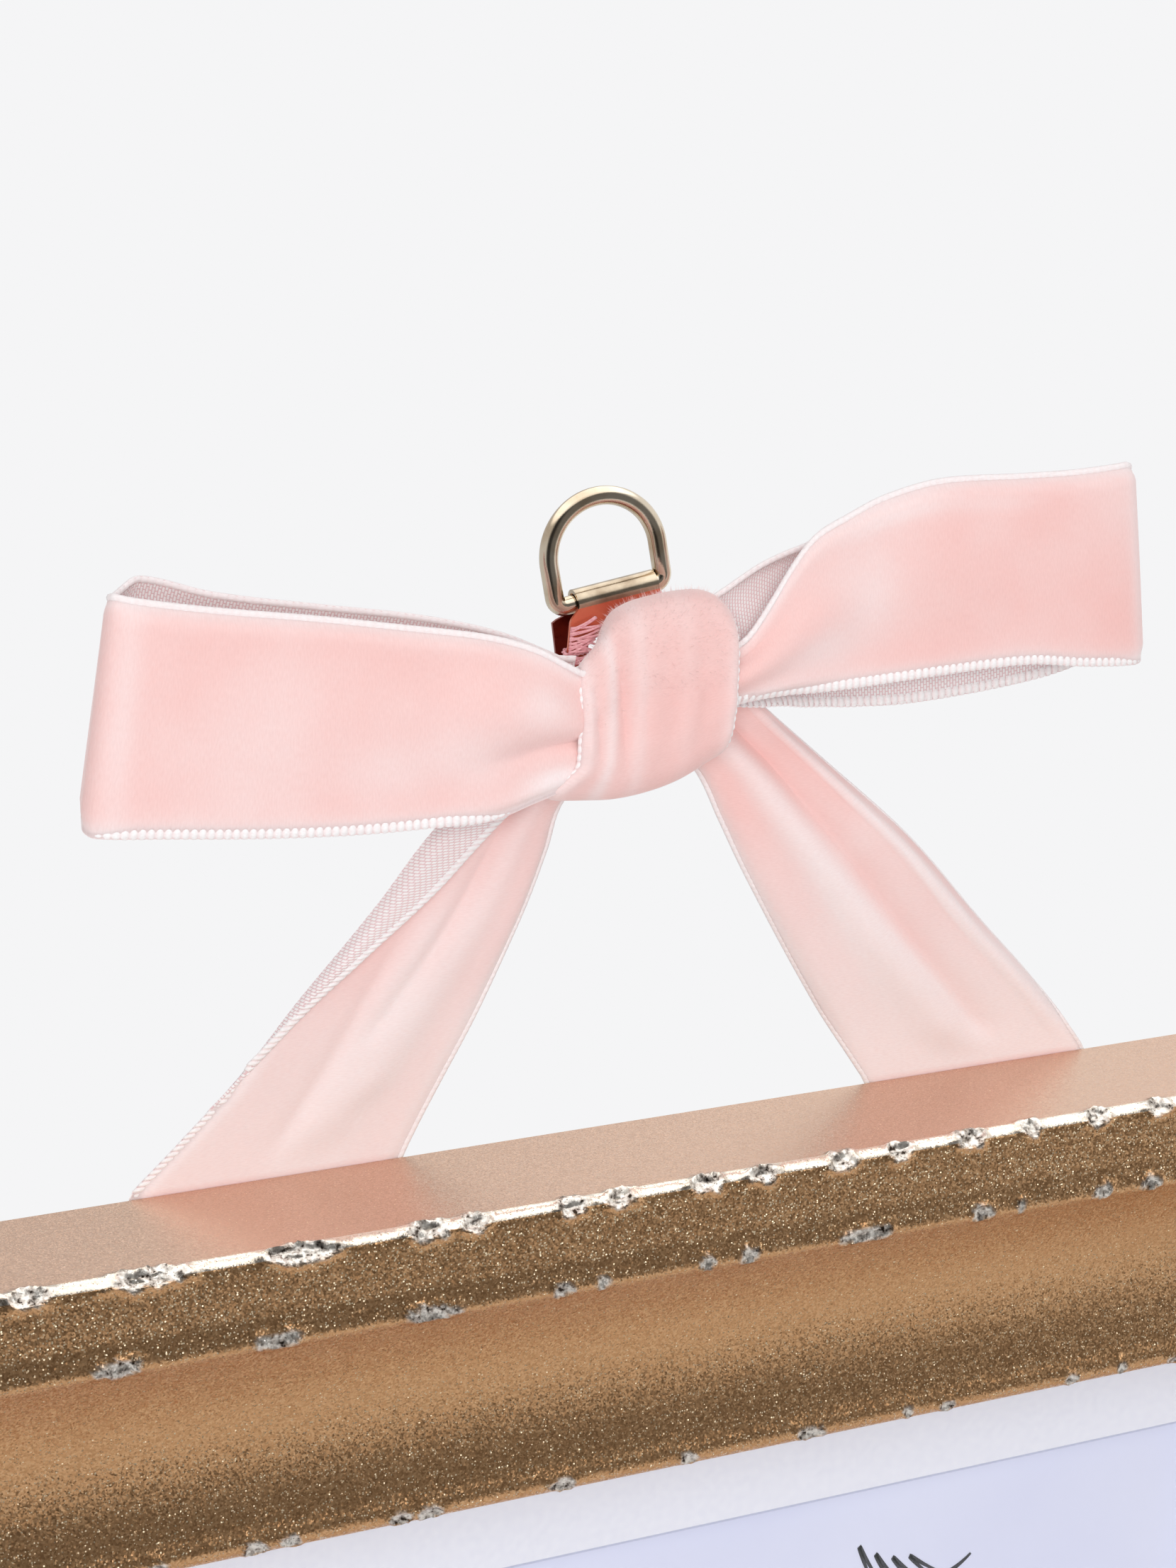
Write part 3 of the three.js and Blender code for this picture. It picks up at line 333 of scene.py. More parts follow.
HANGING_STRANDS = 8
HANGING_U = 4.2
HANGING_TOP = -0.6
HANGING_FOOT = -5.5
FIBRE_ENDS = 26
FIBRE = 0.02
SLOT_HEIGHT = THREAD_LOOPS * THREAD_PITCH + 2 * THREAD

# Fixings on the back
BUTTON_INSET = 20
BUTTON_REACH = 15
BUTTON_WIDTH = 9
BUTTON_TIP = 6
BUTTON_THICKNESS = 1.2
BUTTON_Y = BACK_Y + 0.1
SCREW_SEAT_Y = BUTTON_Y + BUTTON_THICKNESS + 0.1
SCREW_HEAD = 6.4
SCREW_HEAD_HEIGHT = 1.3
SCREW_SLOT = 0.9
SCREW_SLOT_LENGTH = 3.6
SCREW_SLOT_DEPTH = 0.6
SCREW_SHANK = 1.28
SCREW_POINT = 2
BUTTON_EDGE = 0.35
STAPLE_WIRE = 0.7
STAPLE_BEND = 0.7
BUMPER_ROUND = 1.2


def lerp(a, b, t):
    return a + (b - a) * t


def clamp(value, low=0.0, high=1.0):
    return max(low, min(high, value))


def smooth(t):
    t = clamp(t)
    return t * t * (3 - 2 * t)


def rise(value, start, end):
    """A smooth step: 0 up to the start, 1 from the end on. The start may be the higher of the two."""
    return smooth((value - start) / (end - start))


def through(pairs, at):
    """A smooth curve through given [share, value] pairs."""
    i = 0
    while i < len(pairs) - 2 and at > pairs[i + 1][0]:
        i += 1

    def slope(k):
        a = pairs[max(k - 1, 0)]
        b = pairs[min(k + 1, len(pairs) - 1)]
        return (b[1] - a[1]) / (b[0] - a[0])

    (x0, y0), (x1, y1) = pairs[i], pairs[i + 1]
    h = x1 - x0
    t = clamp((at - x0) / h)
    leave = slope(i) * h * t * (1 - t) * (1 - t)
    arrive = slope(i + 1) * h * t * t * (t - 1)
    return lerp(y0, y1, smooth(t)) + leave + arrive


def bell(value, middle, width):
    """A soft bump that is 1 at its middle."""
    return math.exp(-((value - middle) / width) ** 2)


def unit(vectors):
    """Vectors, one or a whole array of them, scaled to a length of 1."""
    return vectors / np.maximum(np.linalg.norm(vectors, axis=-1, keepdims=True), TINY)


def rough(x, y, z, scale):
    """Even noise between -1 and 1 at a place in millimetres."""
    return noise.noise(Vector((x * scale, y * scale, z * scale)))


def turns(count):
    """Even turns all the way round, in radians."""
    return [2 * math.pi * k / count for k in range(count)]


# Materials
THIN_GLOW = 1.2 * MM
FLAKE_LIGHT = (255, 236, 200)
FLAKE_CORE = 0.5
FLAKE_STEEP = 1.1
MIX_SOCKETS = {"FLOAT": (2, 0), "RGBA": (6, 2)}


def linear(colour):
    return [c / 12.92 if c <= 0.04045 else ((c + 0.055) / 1.055) ** 2.4 for c in (v / 255 for v in colour)]


def rgba(colour):
    return (*linear(colour), 1)


def feed(tree, socket, value):
    """Links another node's output to a socket, or writes a constant there."""
    if isinstance(value, bpy.types.NodeSocket):
        tree.links.new(value, socket)
    else:
        socket.default_value = value


def add_node(tree, kind, *values, **named):
    """Adds a node: named values are its settings or inputs, the others fill its inputs in order."""
    made = tree.nodes.new(f"ShaderNode{kind}")
    for key, value in named.items():
        target = key.replace("_", " ").title()
        if target in made.inputs:
            feed(tree, made.inputs[target], value)
        else:
            setattr(made, key, value)
    for socket, value in zip(made.inputs, values):
        feed(tree, socket, value)
    return made


class Look:
    """A Principled material and short ways to add nodes to it."""

    def __init__(self, name, colour, rough=0.5, metal=0.0, **inputs):
        self.material = bpy.data.materials.new(name)
        self.material.use_nodes = True
        self.tree = self.material.node_tree
        self.shader = self.tree.nodes["Principled BSDF"]
        self.shader.inputs["Base Color"].default_value = rgba(colour)
        self.shader.inputs["Roughness"].default_value = rough
        self.shader.inputs["Metallic"].default_value = metal
        for key, value in inputs.items():
            self.shader.inputs[key.replace("_", " ")].default_value = value

    def node(self, kind, *values, **named):
        return add_node(self.tree, kind, *values, **named)

    def link(self, output, name):
        self.tree.links.new(output, self.shader.inputs[name])

    def place(self, stretch=(1, 1, 1)):
        where = self.node("TexCoord").outputs["Object"]
        return self.node("Mapping", vector=where, scale=stretch).outputs["Vector"]

    def grain(self, scale, detail=2.0, stretch=(1, 1, 1)):
        return self.node("TexNoise", vector=self.place(stretch), scale=scale, detail=detail).outputs["Fac"]

    def streaks(self, across, along):
        """Noise drawn out across a ribbon, in the ribbon's own UV in millimetres."""
        uv = self.node("UVMap").outputs["UV"]
        where = self.node("Mapping", vector=uv, scale=(across, along, 1)).outputs["Vector"]
        return self.node("TexNoise", vector=where, scale=1.0, detail=3.0).outputs["Fac"]

    def ramp(self, value, *stops):
        """Colours by value: each stop is [value, colour]."""
        made = self.node("ValToRGB", value)
        band = made.color_ramp.elements
        for at, colour in stops[1:-1]:
            band.new(at).color = rgba(colour)
        for end in (0, -1):
            band[end].position = stops[end][0]
            band[end].color = rgba(stops[end][1])
        return made.outputs["Color"]

    def tint(self, value, *stops):
        self.link(self.ramp(value, *stops), "Base Color")

    def between(self, value, low, high):
        return self.node("MapRange", value=value, to_min=low, to_max=high).outputs["Result"]

    def math(self, operation, *values):
        return self.node("Math", *values, operation=operation).outputs["Value"]

    def vector(self, operation, *values, **named):
        return self.node("VectorMath", *values, operation=operation, **named).outputs["Vector"]

    def mix(self, share, a, b, kind="RGBA", blend="MIX"):
        first, result = MIX_SOCKETS[kind]
        made = self.node("Mix", data_type=kind, blend_type=blend)
        for at, value in ((0, share), (first, a), (first + 1, b)):
            feed(self.tree, made.inputs[at], value)
        return made.outputs[result]

    def bump(self, height, strength, depth, invert=False):
        made = self.node("Bump", height=height, strength=strength, distance=depth * MM, invert=invert)
        self.link(made.outputs["Normal"], "Normal")

    def value_of(self, name):
        return self.node("Attribute", attribute_name=name).outputs["Fac"]


def glitter_look(name, tones, flake, tilt, sparkle, gloss):
    """Metal-flake paint: each small cell is a flake that leans its own way, and a few stand out, tipped
    steeper and painted near white, partly as painted glints.
    """
    look = Look(name, tones[1], gloss, 1.0)
    cells = look.node("TexVoronoi", vector=look.place(), scale=1 / (flake * MM)).outputs
    pick = look.node("SeparateColor", cells["Color"]).outputs
    chosen = look.math("GREATER_THAN", pick["Green"], 1 - sparkle)
    inside = look.math("LESS_THAN", cells["Distance"], FLAKE_CORE)
    bright = look.math("MULTIPLY", chosen, inside)
    chip = look.value_of("chip")

    lean = look.vector("SUBTRACT", cells["Color"], (0.5, 0.5, 0.5))
    some = look.math("MULTIPLY", look.math("POWER", pick["Blue"], 4), 0.5 * tilt)
    steep = look.math("ADD", look.math("MULTIPLY", bright, FLAKE_STEEP), look.math("ADD", some, tilt))
    scaled = look.vector("SCALE", lean, scale=steep)
    facing = look.vector("ADD", scaled, look.node("NewGeometry").outputs["Normal"])
    look.link(look.vector("NORMALIZE", facing), "Normal")

    dark, middle, light = tones
    paint = look.ramp(pick["Red"], (0.0, dark), (0.5, middle), (1.0, light))
    # The few standing flakes are painted near white: partly light flakes, partly painted glints
    painted = look.mix(bright, paint, rgba(FLAKE_LIGHT))
    # Chipped spots show silver speckled darker and lighter at random; the lightest speckles are painted
    # glints
    chip_speckle = look.grain(1500, 3)
    silver = look.ramp(chip_speckle, (0.33, (52, 42, 34)), (0.42, (178, 168, 158)), (0.6, (246, 240, 230)))
    look.link(look.mix(chip, painted, silver), "Base Color")
    look.link(look.mix(chip, gloss, look.between(chip_speckle, 0.3, 0.5), "FLOAT"), "Roughness")
    return look.material


def raw_board_look(name, stretch):
    look = Look(name, (196, 168, 132), 0.85)
    fibre = look.grain(140, 6, stretch)
    look.tint(fibre, (0.25, (170, 138, 100)), (0.5, (200, 170, 130)), (0.8, (216, 190, 154)))
    look.bump(look.grain(900, 4), 0.35, 0.3)
    return look.material


def velvet_look():
    """Pile with a soft sheen. The mesh's pale mark mixes it towards pale pink: near the ribbon's edges,
    partly as painted sheen, and in painted highlights; it is less pale in painted shade.
    """
    look = Look("velvet", (247, 206, 202), 0.9, Specular_IOR_Level=0.1,
                Sheen_Weight=0.4, Sheen_Roughness=0.45, Sheen_Tint=(1.0, 0.95, 0.95, 1),
                Subsurface_Weight=0.25, Subsurface_Scale=THIN_GLOW, Subsurface_Radius=(1.0, 0.75, 0.7))
    clouds = look.grain(48, 3)
    nap = look.streaks(1.5, 6)
    pink = look.ramp(clouds, (0.32, (247, 198, 193)), (0.5, (248, 207, 203)), (0.7, (249, 217, 214)))
    # The pale mark paints sheen near the edges, highlights and shade onto the pink pile
    pale = look.mix(look.value_of("pale"), pink, rgba((252, 234, 233)))
    fine = look.ramp(nap, (0.3, (240, 228, 226)), (0.65, (255, 255, 255)))
    look.link(look.mix(0.3, pale, fine, blend="MULTIPLY"), "Base Color")
    look.bump(nap, 0.2, 0.1)
    return look.material


def satin_look():
    """The ribbon's back: short pale floats in a staggered weave, in the ribbon's own UV."""
    look = Look("satin_weave", (250, 236, 236), 0.4, Specular_IOR_Level=0.3,
                Subsurface_Weight=0.1, Subsurface_Scale=THIN_GLOW, Subsurface_Radius=(1.0, 0.95, 0.95))
    weave = look.node(
        "TexBrick", vector=look.node("UVMap").outputs["UV"], scale=1.0,
        color1=rgba((255, 251, 250)), color2=rgba((253, 243, 243)), mortar=rgba((240, 204, 206)),
        mortar_size=0.075, mortar_smooth=0.7, brick_width=0.62, row_height=0.36,
    ).outputs
    look.link(weave["Color"], "Base Color")
    look.bump(weave["Fac"], 0.5, 0.15, invert=True)
    return look.material


def selvedge_look():
    """White bars with the ribbon's pink between them; the mesh says which is which."""
    look = Look("selvedge", (250, 244, 243), 0.55, Specular_IOR_Level=0.4)
    strands = look.grain(2500, 2, (1, 1, 2))
    white = look.ramp(strands, (0.3, (246, 240, 240)), (0.65, (253, 252, 252)))
    look.link(look.mix(look.value_of("pale"), rgba((245, 222, 221)), white), "Base Color")
    look.bump(strands, 0.3, 0.15)
    return look.material


def metal_look(name, colour, dark, gloss, wear, bare=1.0):
    """Bare or plated metal with uneven polish and a little tarnish; lacquer makes it less bare."""
    look = Look(name, colour, gloss, bare)
    look.tint(look.grain(260, 5), (0.3, dark), (0.55, colour), (1.0, colour))
    scratches = look.grain(700, 3, (1, 1, 5))
    look.link(look.between(scratches, gloss * 0.6, gloss + wear), "Roughness")
    look.bump(scratches, 0.06, 0.05)
    return look.material


def thread_look():
    look = Look("thread", (232, 164, 170), 0.6, Sheen_Weight=0.3)
    fibre = look.grain(3500, 3, (1, 1, 3))
    look.tint(fibre, (0.3, (216, 138, 148)), (0.7, (246, 194, 197)))
    look.bump(fibre, 0.4, 0.1)
    return look.material


def glass_look():
    look = Look("glazing", (238, 244, 243), 0.04, Alpha=0.03, IOR=1.5)
    look.link(look.between(look.grain(30, 4), 0.02, 0.09), "Roughness")
    return look.material


def mat_look():
    """Paper-faced board; its window's bevel and every face not turned to the front are painted blue-grey as
    painted shade.
    """
    look = Look("mat_paper", (235, 235, 245), 0.9, Specular_IOR_Level=0.2)
    tooth = look.grain(1100, 5)
    paper = look.ramp(tooth, (0.3, (232, 232, 243)), (0.7, (238, 238, 247)))
    facing = look.node("SeparateXYZ", look.node("TexCoord").outputs["Normal"]).outputs
    # Faces not turned to the front, the bevel among them, are painted darker blue-grey: painted shade
    slope = look.math("LESS_THAN", look.math("ABSOLUTE", facing["Y"]), 0.95)
    look.link(look.mix(slope, paper, rgba((214, 217, 238))), "Base Color")
    look.bump(tooth, 0.15, 0.12)
    return look.material


def print_look():
    # Its white paper is written lavender-grey: painted shade
    look = Look("print_paper", (222, 224, 245), 0.55, Specular_IOR_Level=0.35)
    look.tint(look.grain(24, 3), (0.3, (218, 220, 243)), (0.7, (226, 228, 247)))
    look.bump(look.grain(2200, 3), 0.08, 0.05)
    return look.material


def ink_look():
    look = Look("ink", (34, 33, 40), 0.6)
    look.tint(look.grain(500, 3), (0.3, (24, 23, 30)), (0.75, (58, 56, 66)))
    return look.material


def fibre_look(name, dark, light, scale, stretch=(1, 1, 1)):
    """Pressed card or board: short fibres in two tones."""
    look = Look(name, light, 0.9, Specular_IOR_Level=0.2)
    look.tint(look.grain(scale, 8, stretch), (0.32, dark), (0.68, light))
    look.bump(look.grain(scale * 2.5, 6, stretch), 0.4, 0.25)
    return look.material


FRONT_PAINT = glitter_look(
    "front_paint", ((194, 147, 102), (213, 165, 118), (227, 183, 136)),
    flake=0.19, tilt=0.3, sparkle=0.14, gloss=0.34)
# The outer side, the top face of the top rail, is a lighter, pinker copy of the paint: painted reflection of
# the pale surroundings and the ribbon
SIDE_PAINT = glitter_look(
    "side_paint", ((206, 170, 146), (216, 181, 156), (226, 192, 168)),
    flake=0.14, tilt=0.16, sparkle=0.01, gloss=0.32)
# The rounded outer edge is painted near white: partly worn paint, partly painted highlight
EDGE_PAINT = glitter_look(
    "edge_paint", ((232, 214, 192), (240, 226, 208), (248, 240, 228)),
    flake=0.16, tilt=0.16, sparkle=0.05, gloss=0.22)
RAW_ACROSS = raw_board_look("raw_moulding_across", (0.15, 1, 1))
RAW_UPRIGHT = raw_board_look("raw_moulding_upright", (1, 1, 0.15))
VELVET = velvet_look()
SATIN = satin_look()
SELVEDGE = selvedge_look()
RIBBON_LOOKS = [VELVET, SATIN, SELVEDGE]
RING_METAL = metal_look("ring_metal", (226, 212, 190), (196, 172, 142), gloss=0.08, wear=0.1)
# The front leaf is painted rose copper: painted reflection of the pink knot; the back leaf is the same,
# darker as painted shade
STRAP_PINK_REFLECTION = metal_look("strap_pink_reflection", (220, 118, 90), (196, 92, 68), gloss=0.2, wear=0.12, bare=0.45)
BARREL_METAL = metal_look("barrel_metal", (206, 190, 166), (160, 142, 120), gloss=0.16, wear=0.1)
STRAP_DARK = metal_look("strap_shaded", (150, 78, 66), (96, 44, 38), gloss=0.3, wear=0.15)
STEEL = metal_look("steel", (188, 188, 190), (140, 138, 136), gloss=0.28, wear=0.2)
BRASS = metal_look("brass_plate", (206, 172, 104), (160, 124, 66), gloss=0.26, wear=0.2)
THREAD_PINK = thread_look()
RUBBER = fibre_look("bumper_felt", (52, 50, 50), (84, 82, 80), 1800)
HARDBOARD = fibre_look("hardboard", (92, 66, 45), (130, 97, 68), 700)
CARD = fibre_look("filler_card", (150, 118, 80), (190, 156, 112), 300, (1, 1, 0.3))
INK = ink_look()


# Meshes: kinds of faces are the places of their materials in a piece's list
PILE, FLOATS, RIBS = range(3)
PAINTED, OUTER, RAW, ROUNDED = range(4)
FRONT_LEAF, SHADED_LEAF, BARREL = range(3)
SLANTED = (0.31, 0.87, 0.38)


def make(name, points, faces, materials, body=None, replaces=(), kinds=None, uvs=None, crisp=None,
         marks=None):
    mesh = bpy.data.meshes.new(name)
    mesh.from_pydata([tuple(np.asarray(p) * MM) for p in points], [], faces)
    for material in materials:
        mesh.materials.append(material)
    if kinds is not None:
        mesh.polygons.foreach_set("material_index", kinds)
    if uvs is not None:
        layer = mesh.uv_layers.new(name="UVMap")
        corner_points = np.empty(len(mesh.loops), dtype=np.int32)
        mesh.loops.foreach_get("vertex_index", corner_points)
        layer.data.foreach_set("uv", np.asarray(uvs, dtype=np.float32)[corner_points].ravel())
    shaped = bmesh.new()
    shaped.from_mesh(mesh)
    bmesh.ops.recalc_face_normals(shaped, faces=shaped.faces)
    shaped.to_mesh(mesh)
    shaped.free()
    mesh.polygons.foreach_set("use_smooth", [True] * len(mesh.polygons))
    if crisp is not None:
        mesh.set_sharp_from_angle(angle=math.radians(crisp))
    for mark, values in (marks or {}).items():
        layer = mesh.attributes.new(mark, "FLOAT", "POINT")
        layer.data.foreach_set("value", np.asarray(values, dtype=np.float32))
    mesh.update()
    piece = bpy.data.objects.new(name, mesh)
    bpy.context.collection.objects.link(piece)
    if replaces:
        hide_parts(*replaces)
    if body:
        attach(piece, body)
    return piece


class Shape:
    """Points and faces gathered from several parts of one piece."""

    def __init__(self):
        self.points = []
        self.faces = []
        self.kinds = []
        self.uvs = []
        self.pale = []

    def add(self, points, faces, kind=0, uvs=None, pale=0.0):
        base = len(self.points)
        self.points.extend(points)
        self.faces.extend([tuple(base + k for k in face) for face in faces])
        self.kinds.extend(kind if isinstance(kind, list) else [kind] * len(faces))
        self.uvs.extend(uvs if uvs is not None else [(0.0, 0.0)] * len(points))
        self.pale.extend(pale if isinstance(pale, list) else [pale] * len(points))

    def finish(self, name, materials, body=None, replaces=(), crisp=None):
        return make(name, self.points, self.faces, materials, body, replaces, self.kinds, self.uvs,
                    crisp, {"pale": self.pale})


def stack_faces(count, sides, closed=False, capped=True):
    """Faces that join rings of points, each to the next; a closed stack has no ends to cap."""
    faces = []
    for i in range(count if closed else count - 1):
        a, b = i * sides, (i + 1) % count * sides
        for k in range(sides):
            n = (k + 1) % sides
            faces.append((a + k, a + n, b + n, b + k))
    if capped and not closed:
        faces.append(tuple(range(sides)))
        faces.append(tuple((count - 1) * sides + k for k in reversed(range(sides))))
    return faces


def grid_of(rows, columns, value_at):
    return np.array([[value_at(i, j) for j in range(columns)] for i in range(rows)])


def steps_along(line, closed):
    """The way from point to point, or from row to row; a closed line's ends join up."""
    if closed:
        return np.roll(line, -1, axis=0) - np.roll(line, 1, axis=0)
    return np.gradient(line, axis=0)


def grid_normals(grid, closed=False):
    return unit(np.cross(steps_along(grid, closed), np.gradient(grid, axis=1)))


def lengths(line):
    steps = np.linalg.norm(np.diff(line, axis=0), axis=1)
    return np.concatenate([[0], np.cumsum(steps)])


def sheet(shape, grid, thickness, kinds=(0, 0), closed=False, keep=None, bare=0.0, even_weave=True,
          painted_light=None):
    """Adds a thick sheet: a grid of points with a thickness along its normals, maybe with a hole.
    Within bare millimetres of its long edges a ribbon has no pile: it is thin there, and painted paler,
    partly as painted sheen.
    Its satin back is flat. The painted-light values make its pile paler as painted highlight, or less pale
    as painted shade where they are below zero."""
    rows, columns = grid.shape[:2]
    normal = grid_normals(grid, closed)
    share = np.arange(columns) / (columns - 1)
    true_across = np.array([lengths(row) for row in grid])
    from_edge = np.minimum(true_across, true_across[:, -1:] - true_across)
    swell = np.ones_like(from_edge)
    pale = np.zeros_like(from_edge)
    faced = (0, 0) if callable(kinds) else kinds
    if bare:
        swell = lerp(BARE_SHARE, 1, np.sqrt(np.clip(from_edge - bare * 0.6, 0, 1)))
        pale = PALE_AT_EDGE * np.exp(-(from_edge / PALE_EDGE) ** 2)
    # Painted highlights raise the pile's paleness, and painted shade lowers it
    if painted_light is not None:
        pale = np.clip(pale + painted_light, 0, 1)
    front, behind = (np.full_like(swell, FLAT_BACK) if bare and kind == FLOATS else swell for kind in faced)
    reach = normal * (thickness / 2)
    points = list((grid + reach * front[..., None]).reshape(-1, 3))
    points += list((grid - reach * behind[..., None]).reshape(-1, 3))
    along = lengths(grid[:, columns // 2])
    across = np.tile(share * RIBBON_WIDTH, (rows, 1)) if even_weave else true_across
    uvs = [(across[i][j], along[i]) for i in range(rows) for j in range(columns)] * 2
    back = rows * columns

    def at(i, j):
        return (i % rows) * columns + j

    cells = {(i, j) for i in range(rows if closed else rows - 1) for j in range(columns - 1)
             if keep is None or keep(i, j)}
    faces = []
    which = []
    for i, j in sorted(cells):
        corners = [at(i, j), at(i + 1, j), at(i + 1, j + 1), at(i, j + 1)]
        faces.append(corners)
        faces.append([back + k for k in reversed(corners)])
        which.extend(kinds(i, j) if callable(kinds) else kinds)
        sides = [((i, j - 1), 0, 1), ((i + 1, j), 1, 2), ((i, j + 1), 2, 3), ((i - 1, j), 3, 0)]
        for (near_i, near_j), a, b in sides:
            near = (near_i % rows, near_j) if closed else (near_i, near_j)
            if near not in cells:
                faces.append([corners[b], corners[a], back + corners[a], back + corners[b]])
                which.append(which[-1])
    shape.add(points, faces, which, uvs, list(pale.ravel()) * 2)


def read_at(at, along, values):
    """Rows of three values, read between known places along a line."""
    return np.stack([np.interp(at, along, values[:, k]) for k in range(3)], axis=1)


def resample(line, step):
    along = lengths(line)
    count = max(int(along[-1] / step), 2)
    at = np.linspace(0, along[-1], count)
    return read_at(at, along, line), at


def sweep(shape, line, ring_at, sides, kind=0, closed=False, pale=0.0):
    """Adds a tube: ring_at(i) gives the points of ring i; the ends are capped."""
    count = len(line)
    points = [p for i in range(count) for p in ring_at(i)]
    shape.add(points, stack_faces(count, sides, closed), kind, None, pale)


def tube(shape, line, radius, sides=10, kind=0, closed=False):
    """A round tube along a line of points, with a frame that turns as little as it can."""
    line = np.asarray(line, dtype=float)
    ahead = unit(steps_along(line, closed))
    side = np.cross(ahead[0], SLANTED)
    sides_at = []
    for direction in ahead:
        side = unit(side - direction * np.dot(side, direction))
        sides_at.append(side)

    def ring(i):
        up = np.cross(ahead[i], sides_at[i])
        return [line[i] + radius * (math.cos(t) * sides_at[i] + math.sin(t) * up) for t in turns(sides)]

    sweep(shape, line, ring, sides, kind, closed)


def selvedge(shape, grid, normals, last, width, closed, milky, size_at):
    """Adds the ribbed white edge of a ribbon along its first or last column of points.
    Milky edges have fainter ribs, and size_at gives the edge's size part of the way along."""
    rows = grid[:, ::-1] if last else grid
    edge = rows[:, 0]
    inner = np.array([row[np.argmax(lengths(row) > 0.4)] for row in rows])
    normals = normals[:, -1 if last else 0]
    if closed:
        edge, inner, normals = (np.concatenate([a, a[:1]]) for a in (edge, inner, normals))
    line, at = resample(edge, SELVEDGE_PITCH / 8)
    along = lengths(edge)
    outward = unit(edge - inner)
    if not closed:
        padded = np.pad(outward, ((3, 3), (0, 0)), mode="edge")
        outward = sum(padded[k:k + len(outward)] for k in range(7)) / 7
    out_at = read_at(at, along, outward)
    normal_at = read_at(at, along, normals)
    half = width / 2
    size = np.array([size_at(share) for share in at / at[-1]])
    ribs = np.abs(np.cos(math.pi * at / SELVEDGE_PITCH)) ** 0.6
    tooth = 1 - (1 - ribs) * (1 - milky) * size

    def ring(i):
        reach = half * size[i] * (0.8 + 0.2 * tooth[i])
        height = SELVEDGE_HEIGHT * size[i] * (0.35 + 0.65 * tooth[i])
        middle = line[i] - out_at[i] * half * size[i] * 0.8
        return [middle + out_at[i] * reach * math.cos(t) + normal_at[i] * height * math.sin(t)
                for t in turns(SELVEDGE_SIDES)]

    whiteness = list(np.repeat(tooth * (1 - 0.4 * milky), SELVEDGE_SIDES))
    sweep(shape, line, ring, SELVEDGE_SIDES, RIBS, False, whiteness)


def ribbon(shape, grid, kinds, painted_light, first, last, milky=(0, 0), closed=False, even_weave=True,
           last_size=lambda share: 1.0):
    """Adds one ribbon: the thick sheet and its two selvedges, of the widths first and last."""
    sheet(shape, grid, RIBBON_THICKNESS, kinds, closed, None, max(first, last), even_weave, painted_light)
    normals = grid_normals(grid, closed)
    selvedge(shape, grid, normals, False, first, closed, milky[0], lambda share: 1.0)
    selvedge(shape, grid, normals, True, last, closed, milky[1], last_size)


# Rails
def face_height(d):
    """Height of a rail's front over its back, at d in from the outer edge."""
    crest = EDGE_ROUND + BAND_WIDTH + RIDGE_WIDTH / 2
    ridge_end = EDGE_ROUND + BAND_WIDTH + RIDGE_WIDTH
    lip_start = RAIL_FACE - LIP_WIDTH
    lip_base = RAIL_DEPTH - LIP_RECESS - LIP_HEIGHT
    scoop = lip_start - ridge_end
    fall = RAIL_DEPTH - lip_base
    if d < crest:
        return RAIL_DEPTH + RIDGE_HEIGHT * rise(d, crest - RIDGE_RISE, crest)
    if d < ridge_end:
        t = (d - crest) / (ridge_end - crest)
        slope = -(fall + 4 * SCOOP_DEPTH) / scoop * (ridge_end - crest)
        return RAIL_DEPTH + RIDGE_HEIGHT * (1 - smooth(t)) + slope * t * t * (t - 1)
    if d < lip_start:
        t = (d - ridge_end) / scoop
        return RAIL_DEPTH - fall * t - SCOOP_DEPTH * 4 * t * (1 - t)
    if d < lip_start + LIP_CREST:
        t = (d - lip_start) / LIP_CREST
        slope = (4 * SCOOP_DEPTH - fall) / scoop * LIP_CREST
        return lip_base + LIP_RISE * smooth(t) + slope * t * (1 - t) * (1 - t)
    t = (d - lip_start - LIP_CREST) / (LIP_WIDTH - LIP_CREST)
    return lip_base + LIP_RISE - LIP_DROP * (1 - math.sqrt(max(1 - t * t, 0)))


def rail_section():
    """Points [in from the outer edge, forward of the back, kind of the face after it]."""
    points = []

    def run(a, b, steps, kind):
        for k in range(steps):
            points.append((lerp(a[0], b[0], k / steps), lerp(a[1], b[1], k / steps), kind))

    run((0, 0), (0, RAIL_DEPTH - SIDE_FINE), 6, OUTER)
    run((0, RAIL_DEPTH - SIDE_FINE), (0, RAIL_DEPTH - EDGE_ROUND), 8, OUTER)
    for k in range(10):
        turn = k / 10 * math.pi / 2
        points.append((EDGE_ROUND * (1 - math.cos(turn)), RAIL_DEPTH - EDGE_ROUND * (1 - math.sin(turn)),
                       ROUNDED if k < 7 else PAINTED))
    crest = RAIL_FACE - LIP_WIDTH + LIP_CREST
    for k in range(76):
        d = lerp(EDGE_ROUND, crest, k / 76)
        points.append((d, face_height(d), PAINTED))
    for k in range(9):
        d = lerp(crest, RAIL_FACE, math.sin(k / 8 * math.pi / 2))
        points.append((d, face_height(d), PAINTED))
    wall = RAIL_FACE - REBATE_WIDTH
    run((RAIL_FACE, face_height(RAIL_FACE) - LIP_FACE), (RAIL_FACE, REBATE_DEPTH), 2, PAINTED)
    run((RAIL_FACE, REBATE_DEPTH), (wall, REBATE_DEPTH), 2, RAW)
    run((wall, REBATE_DEPTH), (wall, 0), 2, RAW)
    run((wall, 0), (0, 0), 4, RAW)
    return points


